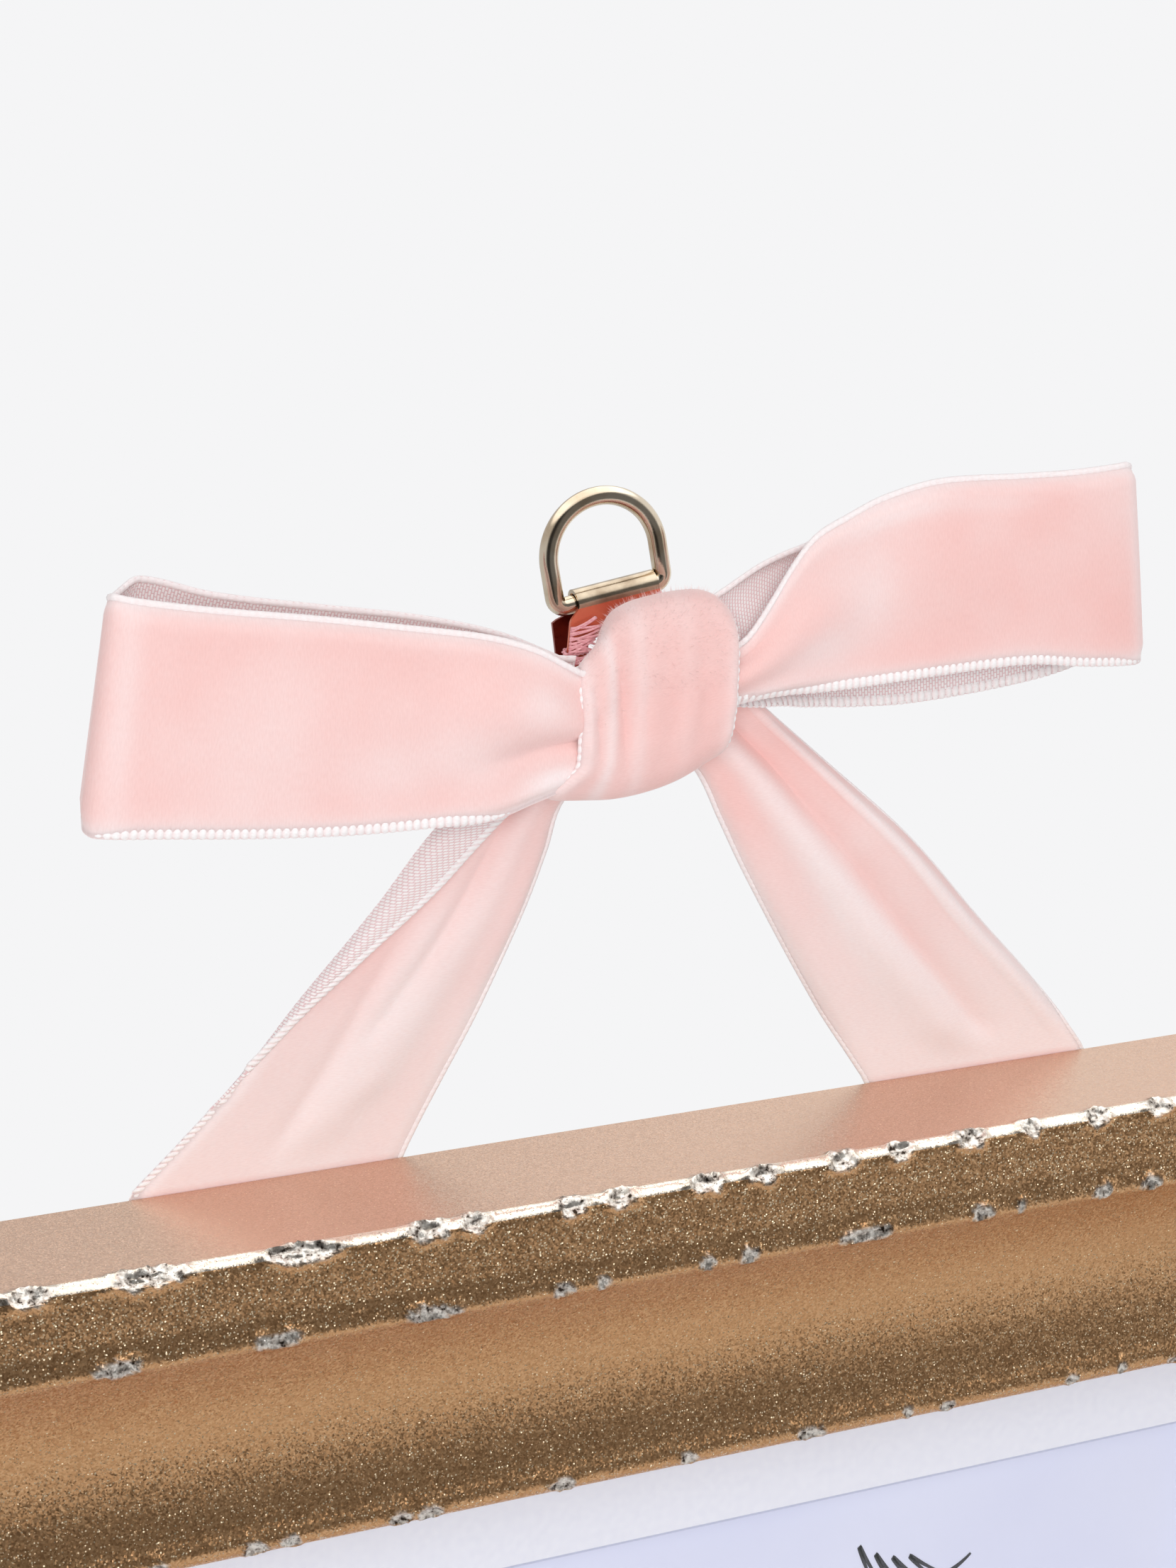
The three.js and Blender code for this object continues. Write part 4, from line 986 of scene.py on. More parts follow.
def rail_chips(name, half, picker):
    """Chips of one rail: [line on the section, place along it, length]."""
    chips = []
    for line, spacing in CHIP_SPACING.items():
        at = -half + CHIP_MARGIN
        while at < half - CHIP_MARGIN:
            if name != "top" or not PICTURE_LEFT < at < PICTURE_RIGHT:
                chips.append((line, at, picker.uniform(*CHIP_LENGTHS)))
            at += spacing * picker.uniform(0.5, 1.5)
        if name == "top":
            chips.extend((line, place, length) for place, length in CHIPS_SEEN[line])
    return chips


# Where each line of chips lies: in from the edge, forward of the back, width, pit and rim
CHIP_PLACES = {
    "edge": (0.45, RAIL_DEPTH - 0.35, 1.15, 0.5, 0.45),
    "ridge": (EDGE_ROUND + BAND_WIDTH + RIDGE_WIDTH / 2, RAIL_DEPTH + RIDGE_HEIGHT, 1.0, 0.4, 0.3),
    "lip": (RAIL_FACE - 1.0, face_height(RAIL_FACE - 1.0), 0.9, 0.3, 0.25),
}


def build_rail(name, inward, along, half, reach, seed):
    picker = random.Random(seed)
    section = rail_section()
    d = np.array([p[0] for p in section])
    h = np.array([p[1] for p in section])
    count = int(2 * half / RAIL_STEP)
    share = np.linspace(-1, 1, count)
    place = share[:, None] * (half - d - MITRE_GAP)[None, :]
    ahead_d = np.roll(d, -1) - np.roll(d, 1)
    ahead_h = np.roll(h, -1) - np.roll(h, 1)
    size = np.hypot(ahead_d, ahead_h)
    out_d, out_h = -ahead_h / size, ahead_d / size
    lift = np.zeros_like(place)
    chip = np.zeros_like(place)
    for line, at, length in rail_chips(name, half, picker):
        d0, h0, width, pit, rim = CHIP_PLACES[line]
        near_section = np.hypot(d - d0, h - h0) < 2.2 * width
        for j in np.nonzero(near_section)[0]:
            away = math.hypot(d[j] - d0, h[j] - h0) / width
            columns = np.nonzero(np.abs(place[:, j] - at) < 0.9 * length)[0]
            for i in columns:
                lengthwise = (place[i, j] - at) / (length / 2)
                wobble = CHIP_WOBBLE * rough(place[i, j] + seed * 31, d[j], h[j], 0.9)
                # About 1 at the chip's ragged rim
                q = math.hypot(lengthwise, away) + wobble
                if q > 1.5:
                    continue
                grit = rough(place[i, j] + seed * 57, d[j], h[j], 2.3)
                hollow = clamp(1 - (q / 0.8) ** 2)
                edge = bell(q, 0.95, 0.22)
                lift[i, j] += rim * edge * (0.8 + 0.5 * grit) - pit * hollow * (0.7 + 0.9 * grit)
                chip[i, j] = max(chip[i, j], rise(q, 1.04, 0.84))
    middle = np.array([0, BACK_Y, MID_Z]) - np.array(inward) * reach
    depth = d[None, :] + lift * out_d[None, :]
    height = h[None, :] + lift * out_h[None, :]
    points = (middle + depth[..., None] * np.array(inward) + height[..., None] * np.array((0, -1, 0))
              + place[..., None] * np.array(along))
    faces = stack_faces(count, len(section))
    kinds = [p[2] for p in section] * (count - 1) + [RAW, RAW]
    raw = RAW_ACROSS if along[0] else RAW_UPRIGHT
    make(f"painted_rail_{name}", points.reshape(-1, 3), faces, [FRONT_PAINT, SIDE_PAINT, raw, EDGE_PAINT],
         "frame", (f"rail_{name}",), kinds, crisp=50, marks={"chip": chip.ravel()})


SIDES = [
    ("top", (0, 0, -1), (1, 0, 0), HALF_WIDTH, HALF_HEIGHT),
    ("bottom", (0, 0, 1), (1, 0, 0), HALF_WIDTH, HALF_HEIGHT),
    ("left", (1, 0, 0), (0, 0, 1), HALF_HEIGHT, HALF_WIDTH),
    ("right", (-1, 0, 0), (0, 0, 1), HALF_HEIGHT, HALF_WIDTH),
]
for number, (side_name, side_in, side_along, side_half, side_reach) in enumerate(SIDES):
    build_rail(side_name, side_in, side_along, side_half, side_reach, number + 1)


# Ring, strap and thread: u runs along the ring's bar and v towards its top, both tilted about Y
ring_u = np.array((math.cos(RING_TILT), 0, math.sin(RING_TILT)))
ring_v = np.array((-math.sin(RING_TILT), 0, math.cos(RING_TILT)))
arc_middle = np.array((0, 0, -(RING_RADIUS - RING_WIRE / 2)))


def ring_point(u, v, y=0.0):
    up = v - RING_CORNER - RING_SIDE
    return arc_middle + ring_u * (u - RING_SHIFT) + ring_v * up + np.array((0, y, 0))


def build_ring():
    path = []
    left, right = RING_SHIFT - RING_RADIUS, RING_SHIFT + RING_RADIUS
    shoulder = RING_CORNER + RING_SIDE

    def arc(u, v, radius, start, angle, steps):
        for k in range(steps + 1):
            turn = start + k / steps * angle
            path.append((u + radius * math.cos(turn), v + radius * math.sin(turn)))

    def straight(start, end, steps):
        for k in range(1, steps):
            path.append((lerp(start[0], end[0], k / steps), lerp(start[1], end[1], k / steps)))

    arc(left + RING_CORNER, RING_CORNER, RING_CORNER, math.pi, math.pi / 2, 10)
    straight((left + RING_CORNER, 0), (right - RING_CORNER, 0), 24)
    arc(right - RING_CORNER, RING_CORNER, RING_CORNER, -math.pi / 2, math.pi / 2, 10)
    straight((right, RING_CORNER), (right, shoulder), 7)
    arc(RING_SHIFT, shoulder, RING_RADIUS, 0, math.pi, 80)
    straight((left, shoulder), (left, RING_CORNER), 7)
    shape = Shape()
    tube(shape, [ring_point(u, v) for u, v in path], RING_WIRE / 2, 24, closed=True)
    shape.finish("polished_ring", [RING_METAL], "ring", ("d_ring",))


def leaf_left(v, behind):
    """Where the strap's left edge lies below its barrel: the leaves splay, the back one more."""
    down = max(-v, 0.0)
    if behind:
        splay = BACK_FLARE * rise(down, RING_CLEAR, RING_CLEAR + BACK_SPLAY) + BACK_SLOPE * down
    else:
        splay = FRONT_FLARE * rise(down, 0, FRONT_SPLAY) + FRONT_SLOPE * down
    return -STRAP_WIDTH / 2 - splay


def build_strap():
    middle = STRAP_INNER + STRAP_SHEET / 2
    line = [(-middle, -STRAP_FRONT_LEAF * (1 - k / 40)) for k in range(40)]
    line += [(-middle * math.cos(k / 24 * math.pi), middle * math.sin(k / 24 * math.pi)) for k in range(25)]
    line += [(middle, -STRAP_BACK_LEAF * k / 46) for k in range(1, 47)]
    columns = 45

    def along(i, j):
        y, v = line[i]
        return lerp(leaf_left(v, y > 0), STRAP_WIDTH / 2, j / (columns - 1))

    def point(i, j):
        y, v = line[i]
        return ring_point(along(i, j), v, y)

    grid = grid_of(len(line), columns, point)

    def keep(i, j):
        v = (line[i][1] + line[i + 1][1]) / 2
        from_left = (along(i, j) + along(i, j + 1)) / 2 - leaf_left(v, False)
        in_slot = STRAP_EDGE < from_left < STRAP_EDGE + SLOT_WIDTH and SLOT_TOP - SLOT_HEIGHT < v < SLOT_TOP
        return not in_slot

    def kinds(i, j):
        y, v = line[i]
        # The front leaf takes the painted pink reflection, the back leaf the same with painted shade
        kind = BARREL if v > BARREL_FOOT else SHADED_LEAF if y > 0 else FRONT_LEAF
        return (kind, kind)

    shape = Shape()
    sheet(shape, grid, STRAP_SHEET, kinds, keep=keep)
    looks = [STRAP_PINK_REFLECTION, STRAP_DARK, BARREL_METAL]
    shape.finish("folded_strap", looks, "hanger", ("ring_strap",), crisp=60)


def build_thread():
    """Two plies twisted round the winding, loose strands across and beside it, and fibre ends."""
    offset = THREAD / 2 + THREAD_CLEAR
    outer = STRAP_INNER + STRAP_SHEET
    per_loop = 12
    corners = []
    for k in range(THREAD_LOOPS * per_loop + 1):
        in_loop = k % per_loop
        corner = in_loop // 3
        turn = (corner + (in_loop % 3) / 2) * math.pi / 2
        v = SLOT_TOP - THREAD - k / per_loop * THREAD_PITCH
        round_both = v < THREAD_BOTH
        if corner in (0, 3):
            middle_u = leaf_left(v, False) + STRAP_EDGE
        else:
            middle_u = leaf_left(v, corner == 1 and round_both)
        middle_y = -outer if corner > 1 else outer if round_both else -STRAP_INNER
        corners.append(ring_point(middle_u + offset * math.cos(turn), v, middle_y + offset * math.sin(turn)))
    line, at = resample(np.array(corners), 0.12)
    ahead = unit(np.gradient(line, axis=0))
    shape = Shape()
    for start in (0, math.pi):
        strand = []
        for k, p in enumerate(line):
            side = unit(np.cross(ahead[k], ring_v))
            up = np.cross(side, ahead[k])
            turn = start + 2 * math.pi * at[k] / TWIST_PITCH
            strand.append(p + PLY_OFFSET * (side * math.cos(turn) + up * math.sin(turn)))
        tube(shape, strand, PLY, 6)
    front = -(outer + offset + THREAD)
    picker = random.Random(9)

    def loose(place_at):
        tube(shape, [ring_point(*place_at(t)) for t in np.linspace(0, 1, 16)], LOOSE_STRAND, 6)

    for k in range(CROSSINGS):
        v0 = CROSSING_TOP - CROSSING_DROP * k / (CROSSINGS - 1)
        v1 = min(v0 + picker.uniform(*CROSSING_RISE), THREAD_TOP)
        end = picker.uniform(*CROSSING_REACH)
        out = picker.uniform(0.9, 1.15)
        loose(lambda t: (leaf_left(lerp(v0, v1, t), False) + lerp(-0.15, end, t), lerp(v0, v1, t),
                         front * (0.85 + 0.15 * out * math.sin(math.pi * t))))
    for k in range(HANGING_STRANDS):
        start, end = HANGING_U + 0.05 * k, picker.uniform(3, 4.5)
        loose(lambda t: (lerp(start, end, t), lerp(HANGING_TOP, HANGING_FOOT, t),
                         -1.6 - 0.8 * math.sin(math.pi * t)))
    for _ in range(FIBRE_ENDS):
        root = line[picker.randrange(len(line))]
        lean = np.array((picker.uniform(-1, 0.3), picker.uniform(-1, 0), picker.uniform(-1, 0.6)))
        curl = np.array([picker.uniform(-1, 1) for _ in range(3)])
        tube(shape, [root + lean * 0.9 * t + curl * 0.5 * t * t for t in np.linspace(0, 1, 6)], FIBRE, 4)
    shape.finish("twisted_thread", [THREAD_PINK], "hanger", ("thread_binding",))


build_ring()
build_strap()
build_thread()


# Bow: the knot wraps the gathered waist, and the loops come out of it
def rounded(value):
    return math.copysign(abs(value) ** (2 / KNOT_SQUARE), value)


def knot_point(across, turn, inside):
    top = through(KNOT_TOP, across) - inside
    bottom = through(KNOT_BOTTOM, across) + inside
    upward, backward = rounded(math.sin(turn)), rounded(math.cos(turn))
    down = (1 - upward) / 2
    front = max(0.0, -backward)
    crease = 0.0
    for k, (place, depth, width) in enumerate(KNOT_CREASES):
        shift = 0.1 * (down - 0.4) * (1 if k < 2 else 0.3)
        fade = math.sin(math.pi * clamp(down)) ** 0.6 * (1 - 0.6 * rise(down, 0.55, 0.85))
        crease += depth * bell(across, place + shift, width) * fade
    swell = -KNOT_SWELL * math.cos(across * 6 * math.pi)
    wave = KNOT_WAVE * rough(across * 18, upward * 9, 4.2, 0.5)
    x = lerp(KNOT_LEFT - KNOT_LEAN_LEFT * down, KNOT_RIGHT - KNOT_LEAN_RIGHT * down, across)
    y = KNOT_MID_Y + (KNOT_DEPTH / 2 - inside) * backward + front * (crease + swell + wave)
    tuck = rise(across, 0.35, 0) * rise(backward, -0.6, 0.6) * rise(upward, -0.2, 0.6)
    lobe = rise(across, 0.3, 0) * rise(down, 0.72, 0.97)
    curl = rise(across, 0.05, 0) + rise(across, 0.95, 1)
    z = lerp(top, bottom, down) - KNOT_TUCK_DROP * tuck
    return (x + KNOT_TUCK * tuck - KNOT_LOBE * lobe, y + KNOT_CURL * curl * front, z)


def build_knot():
    around, columns = 140, 81
    middle = RIBBON_THICKNESS / 2

    def point(i, j):
        return knot_point(j / (columns - 1), i / around * 2 * math.pi, middle)

    # Painted highlights along the knot's ridges
    def pale(i, j):
        return sum(height * bell(j / (columns - 1), place, width) for place, height, width in KNOT_RIDGE_HIGHLIGHTS)

    grid = grid_of(around, columns, point)
    painted_light = grid_of(around, columns, pale)
    shape = Shape()
    ribbon(shape, grid, (PILE, FLOATS), painted_light, KNOT_SELVEDGE, KNOT_SELVEDGE, closed=True)
    fuzz(shape, grid, grid_normals(grid, True))
    piece = shape.finish("velvet_knot", RIBBON_LOOKS, "hanger", ("bow_knot",), RIBBON_CRISP)


def fuzz(shape, grid, normal):
    """Short pile fibres that stand out of the knot's upper outer face, each a thin spike."""
    picker = random.Random(5)
    rows, columns = grid.shape[:2]
    points = []
    faces = []
    for _ in range(KNOT_FUZZ):
        i, j = picker.randrange(rows // 2), picker.randrange(2, columns - 3)
        root = grid[i, j] + (grid[(i + 1) % rows, j] - grid[i, j]) * picker.random()
        root = root + (grid[i, j + 1] - grid[i, j]) * picker.random()
        out = normal[i, j]
        lean = np.array([picker.uniform(-0.6, 0.6) for _ in range(3)])
        reach = RIBBON_THICKNESS / 2 + FUZZ_LENGTH * picker.uniform(0.2, 0.75)
        side = unit(np.cross(out, lean)) * FUZZ_WIDTH
        other = np.cross(out, side)
        base = len(points)
        points.extend([root + side, root - side * 0.5 + other, root - side * 0.5 - other,
                       root + (out + lean * 0.5) * reach])
        corners = ((0, 1, 3), (1, 2, 3), (2, 0, 3), (2, 1, 0))
        faces.extend(tuple(base + k for k in face) for face in corners)
    shape.add(points, faces, PILE, None, 0.5)


def build_waist():
    around, columns = 72, 25
    inside = RIBBON_THICKNESS + WAIST_GAP + WAIST_PLEAT
    points = []
    for j in range(columns):
        across = lerp(WAIST_INSET, 1 - WAIST_INSET, j / (columns - 1))
        for turn in turns(around):
            points.append(knot_point(across, turn, inside + WAIST_PLEAT * math.sin(WAIST_PLEATS * turn)))
    faces = stack_faces(columns, around)
    make("gathered_waist", points, faces, [VELVET], "hanger", ("bow_waist",))


def loop_out(way):
    """How far out of the knot a loop is, part of the way round it; it starts a little inside."""
    return lerp(-LOOP_NECK, 1, math.sin((1 - abs(1 - 2 * way)) * math.pi / 2))


def loop_point(loop, way, across):
    out = loop_out(way)
    rearward = (-1 if way < 0.5 else 1) * through(LOOP_PLAN, out)
    rear = rise(rearward, -0.25, 0.25)
    middle = lerp(through(loop["front_middle"], out), through(loop["rear_middle"], out), rear)
    opened = RIBBON_WIDTH * lerp(through(loop["front_open"], out), through(loop["rear_open"], out), rear)
    reach = loop["reach"] - loop["rear_short"] * (1 + rearward) / 2
    off = 0.5 - across
    x = loop["start"] + loop["side"] * reach * out + loop["slant"] * out * out * off * 2
    middle_y = lerp(KNOT_MID_Y, loop["middle_y"], rise(out, 0, 0.4))
    pleat = LOOP_PLEAT * (1 - max(out, 0)) ** 2 * math.sin(across * 3 * math.pi)
    front = 1 - rear
    near = rise(out, 0.3, 0)
    crease_line = loop["crease"] + 0.35 * out
    crease = loop["crease_depth"] * near * front * bell(across, crease_line, loop["crease_width"])
    hump = math.sin(math.pi * clamp(out / 0.3)) * bell(across, loop["bulge"], 0.2)
    sway = LOOP_SWAY * rough(x, middle_y * rear, across * 20 + loop["side"] * 40, 0.07)
    y = middle_y + loop["depth"] / 2 * rearward + pleat + crease - front * loop["bulge_height"] * hump
    curl = LOOP_UPPER_CURL * rise(across, 0.09, 0) * rise(out, 0, 0.2)
    curl += LOOP_LOWER_CURL * rise(across, 0.9, 1) * rise(out, 0.3, 0.12)
    corner = 1 - 0.07 * clamp((out - 0.96) / 0.04) ** 2
    return (x, y + sway * rise(out, 0, 0.25) - curl * rearward, middle + off * opened * corner)


def painted_loop_highlights(loop, way, across):
    """How pale a loop's pile is painted at a place, from its spots of painted highlight."""
    out = loop_out(way)
    return sum(height * bell(out, at_out, wide_out) * bell(across, at_across, wide_across)
               for at_out, at_across, wide_out, wide_across, height in loop["painted_light"])


def build_loop(name, loop):
    rows, columns = 200, 49

    def over_all(value_at):
        return grid_of(rows, columns, lambda i, j: value_at(loop, i / (rows - 1), j / (columns - 1)))

    grid = over_all(loop_point)

    def beads(share):
        out = 1 - abs(1 - 2 * share)
        clear = rise(out, loop["beads_from"], loop["beads_from"] + 0.12)
        return lerp(0.3, 1, clear) * lerp(1, 0.4, rise(out, 0.86, 0.96))

    shape = Shape()
    kinds = (PILE, FLOATS) if loop["side"] < 0 else (FLOATS, PILE)
    ribbon(shape, grid, kinds, over_all(painted_loop_highlights), UPPER_SELVEDGE, SELVEDGE_WIDTH,
           milky=(MILKY, 0), last_size=beads)
    stands_for = (f"bow_loop_{name}",)
    piece = shape.finish(f"velvet_loop_{name}", RIBBON_LOOKS, "hanger", stands_for, RIBBON_CRISP)


# Tails: one ribbon each, from behind the knot over the rail's back edge to the stapled end
def tail_folds(tail, t, across):
    """How far a tail's soft folds stand out at a place, and how pale its pile is painted there, as painted
    highlight along the folds.
    """
    out, pale = 0.0, 0.0
    for upper, lower, height, width, light, start, end in tail["folds"]:
        place = lerp(upper, lower, clamp((t - start) / (end - start)))
        shape = bell(across, place, width) * rise(t, start - 0.12, start + 0.08) * rise(t, end + 0.1, end)
        out += height * shape
        pale += light * shape
    return out * rise(t, 1, 0.88), pale


def turned_edge(t, across):
    """How far the band along a tail's right edge is turned back, from nothing to 1."""
    edge = lerp(0.82, 0.92, t)
    return rise(across, edge, edge + 0.16) * rise(t, 0.98, 0.82)


def tail_point(tail, t, across):
    left, right = through(tail["left"], t), through(tail["right"], t)
    z = lerp(-TAIL_START, FOLD_Z, t)
    y = lerp(TAIL_TOP_Y, RIBBON_Y, rise(t, 0.15, 1))
    from_left, from_right = across * (right - left), (1 - across) * (right - left)
    back = through(tail["left_curl"], t) * bell(from_left, 0, TAIL_CURL_WIDTH)
    back += through(tail["right_curl"], t) * bell(from_right, 0, TAIL_CURL_WIDTH)
    back += tail["right_turn"] * turned_edge(t, across)
    sway = TAIL_SWAY * rough(across * 20, t * 50, tail["side"] * 30, 0.09) * math.sin(math.pi * t)
    return (lerp(left, right, across), y - tail_folds(tail, t, across)[0] + back + sway, z)


def tail_row(tail, t, columns, flap_columns):
    """One line across a tail: first the flap that is turned over its left edge, then the rest."""
    flap = max(through(tail["flap"], t), 0) if flap_columns else 0
    lift = min(FLAP_LIFT, flap * 0.6)
    row = []
    left = Vector(tail_point(tail, t, 0))
    right = Vector(tail_point(tail, t, 1))
    for k in range(flap_columns):
        turned = 1 - k / flap_columns
        share = turned * flap / max((right - left).length, TINY)
        under = Vector(tail_point(tail, t, share))
        round_off = math.sin(math.pi / 2 * clamp(turned * 4))
        row.append((under.x, under.y - lift * round_off, under.z + 0.02 * turned))
    for j in range(columns):
        row.append(tail_point(tail, t, j / (columns - 1)))
    return row


def build_tail(name, tail):
    rows, end_rows, columns = 90, 32, 45
    flap_columns = 10 if tail["flap"][0][1] > 0 else 0
    grid = [tail_row(tail, i / (rows - 1), columns, flap_columns) for i in range(rows)]
    last = grid[-1]
    for i in range(1, end_rows):
        drop = END_LENGTH * i / (end_rows - 1)
        shift = tail["side"] * END_SLANT * drop
        settle = rise(drop, 0, 3)
        grid.append([(x + shift, lerp(y, RIBBON_Y, settle), FOLD_Z - FOLD_DROP - drop) for x, y, z in last])
    grid = np.array(grid)
    painted_light = np.zeros(grid.shape[:2])
    for i in range(rows):
        for j in range(columns):
            t, across = i / (rows - 1), j / (columns - 1)
            # The turned band is painted darker as painted shade; folds carry painted highlights, and the
            # tail is painted paler towards its lower end
            turned = TURNED_SHADE * tail["right_turn"] * turned_edge(t, across)
            pale = tail_folds(tail, t, across)[1] + lerp(*tail["painted_paling"], smooth(t))
            painted_light[i, flap_columns + j] = pale - turned
    shape = Shape()
    first = SELVEDGE_WIDTH if flap_columns else TAIL_SELVEDGE
    ribbon(shape, grid, (PILE, FLOATS), painted_light, first, TAIL_SELVEDGE,
           milky=(0 if flap_columns else MILKY, MILKY), even_weave=False)
    stands_for = (f"ribbon_tail_{name}", f"ribbon_end_{name}")
    piece = shape.finish(f"velvet_tail_{name}", RIBBON_LOOKS, None, stands_for, RIBBON_CRISP)
    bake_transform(piece)


build_waist()
build_knot()
build_loop("left", LEFT_LOOP)
build_loop("right", RIGHT_LOOP)
build_tail("left", LEFT_TAIL)
build_tail("right", RIGHT_TAIL)


# Fixings on the back
def lathe(shape, profile, x, z, segments=48):
    """Turns [radius, y] pairs about a line along Y."""
    points = [(x + radius * math.cos(t), y, z + radius * math.sin(t))
              for radius, y in profile for t in turns(segments)]
    shape.add(points, stack_faces(len(profile), segments))


def build_button(name, inward, pivot):
    """A stamped plate with rolled edges: round at its screw, narrower at its tip."""
    round_end, tip = BUTTON_WIDTH / 2, BUTTON_TIP / 2
    outline = []
    for middle, radius, start in ((0, round_end, math.pi / 2), (BUTTON_REACH - tip, tip, -math.pi / 2)):
        for k in range(25):
            turn = start + k / 24 * math.pi
            outline.append((middle + radius * math.cos(turn), radius * math.sin(turn)))
    inward = Vector(inward)
    side = Vector((-inward.z, 0, inward.x))
    layers = [
        (0.9, 0), (1.0, BUTTON_EDGE * 0.6), (1.0, BUTTON_THICKNESS - BUTTON_EDGE),
        (0.97, BUTTON_THICKNESS - BUTTON_EDGE * 0.3), (0.9, BUTTON_THICKNESS), (0.5, BUTTON_THICKNESS),
    ]
    points = []
    centre = BUTTON_REACH / 2 - round_end / 2
    for grow, y in layers:
        for a, b in outline:
            out = inward * (centre + (a - centre) * lerp(1, grow, 0.5)) + side * (b * grow)
            points.append((pivot.x + out.x, BUTTON_Y + y, pivot.z + out.z))
    faces = stack_faces(len(layers), len(outline))
    make(f"stamped_button_{name}", points, faces, [BRASS], f"button_{name}",
         (f"turn_button_{name}",), crisp=40)


def build_screw(name, pivot):
    """A domed head with a crossed slot, and the shank below it."""
    rings, segments = 20, 96
    radius = SCREW_HEAD / 2
    points = []
    for i in range(1, rings + 1):
        r = i / rings * radius
        dome = SCREW_HEAD_HEIGHT * math.sqrt(max(1 - (r / radius) ** 3, 0.0))
        for turn in turns(segments):
            a, b = r * math.cos(turn), r * math.sin(turn)
            near = min(max(abs(a) - SCREW_SLOT_LENGTH / 2, abs(b) - SCREW_SLOT / 2),
                       max(abs(b) - SCREW_SLOT_LENGTH / 2, abs(a) - SCREW_SLOT / 2))
            cut = SCREW_SLOT_DEPTH * rise(near, 0.08, -0.08)
            points.append((pivot.x + a, SCREW_SEAT_Y + dome - cut, pivot.z + b))
    points.append((pivot.x, SCREW_SEAT_Y + SCREW_HEAD_HEIGHT - SCREW_SLOT_DEPTH, pivot.z))
    faces = stack_faces(rings, segments, capped=False)
    faces.extend((len(points) - 1, (k + 1) % segments, k) for k in range(segments))
    faces.append(tuple((rings - 1) * segments + k for k in reversed(range(segments))))
    shape = Shape()
    shape.add(points, faces)
    foot = node_box(f"button_screw_{name}")[0].y
    shank = [(0.15, foot), (SCREW_SHANK, foot + SCREW_POINT), (SCREW_SHANK, SCREW_SEAT_Y)]
    lathe(shape, shank, pivot.x, pivot.z, 24)
    shape.finish(f"domed_screw_{name}", [STEEL], "frame", (f"button_screw_{name}",), crisp=45)


def build_staple(name):
    low, high = node_box(name)
    z = (low.z + high.z) / 2
    wire = STAPLE_WIRE / 2
    left, right, top = low.x + wire, high.x - wire, high.y - wire
    shoulder = top - STAPLE_BEND
    bend = [(STAPLE_BEND * (1 - math.cos(t)), top - STAPLE_BEND * (1 - math.sin(t)))
            for t in np.linspace(0.2, math.pi / 2, 6)]
    line = [(left, low.y, z), (left, shoulder, z)]
    line += [(left + a, y, z) for a, y in bend]
    line += [(right - a, y, z) for a, y in reversed(bend)]
    line += [(right, shoulder, z), (right, low.y, z)]
    shape = Shape()
    tube(shape, line, wire, 10)
    shape.finish(f"wire_{name}", [STEEL], "frame", (name,), crisp=60)


def build_bumper(name):
    low, high = node_box(f"wall_bumper_{name}")
    radius = (high.x - low.x) / 2
    profile = [(radius - 0.2, low.y), (radius, low.y + 0.3), (radius, high.y - BUMPER_ROUND)]
    for k in range(1, 9):
        turn = k / 8 * math.pi / 2
        profile.append((radius - BUMPER_ROUND * (1 - math.cos(turn)),
                        high.y - BUMPER_ROUND * (1 - math.sin(turn))))
    profile += [(radius * 0.5, high.y), (0.4, high.y)]
    shape = Shape()
    lathe(shape, profile, (low.x + high.x) / 2, (low.z + high.z) / 2)
    shape.finish(f"soft_bumper_{name}", [RUBBER], "frame", (f"wall_bumper_{name}",), crisp=50)


for side_name, side_in, side_along, side_half, side_reach in SIDES:
    at_pivot = Vector((0, 0, MID_Z)) + Vector(side_in) * (BUTTON_INSET - side_reach)
    build_button(side_name, side_in, at_pivot)
    build_screw(side_name, at_pivot)
for staple_name in ("staple_left_1", "staple_left_2", "staple_right_1", "staple_right_2"):
    build_staple(staple_name)
for bumper_name in ("left", "right"):
    build_bumper(bumper_name)


# Print: a generic scatter of inked leaf sprigs and dots
INK_Y = PRINT_LOW.y - 0.03
INK_LIFT = 0.02
INK_DOT = 1
STEM_STROKE = 0.75
LEAF_STROKE = 0.55
LEAF_WIDTH = 4.4
LEAF_RISE = 2.6
SPRIG_LENGTH = 13
SPRIG_BEND = 0.6
SPRIG_ROWS, SPRIG_COLUMNS = 7, 6
SPRIG_LEFT, SPRIG_RIGHT = -67, 66
SPRIG_TOP_MARGIN = 16
SPRIG_STEP_X, SPRIG_STEP_Z = 27, 30
DOT_RIGHT = 68


def stroke(shape, line, width):
    """A thin raised stroke of ink that tapers at both ends."""
    line = np.asarray(line, dtype=float)
    ahead = unit(np.gradient(line, axis=0))

    def ring(k):
        x, z = line[k]
        half = width / 2 * (0.35 + 0.65 * math.sin(math.pi * (k + 0.5) / len(line)))
        side_x, side_z = -ahead[k][1] * half, ahead[k][0] * half
        edges = [(x + side_x, z + side_z), (x - side_x, z - side_z)]
        front = [(a, INK_Y - INK_LIFT, b) for a, b in edges]
        return front + [(a, INK_Y, b) for a, b in reversed(edges)]

    sweep(shape, line, ring, 4)


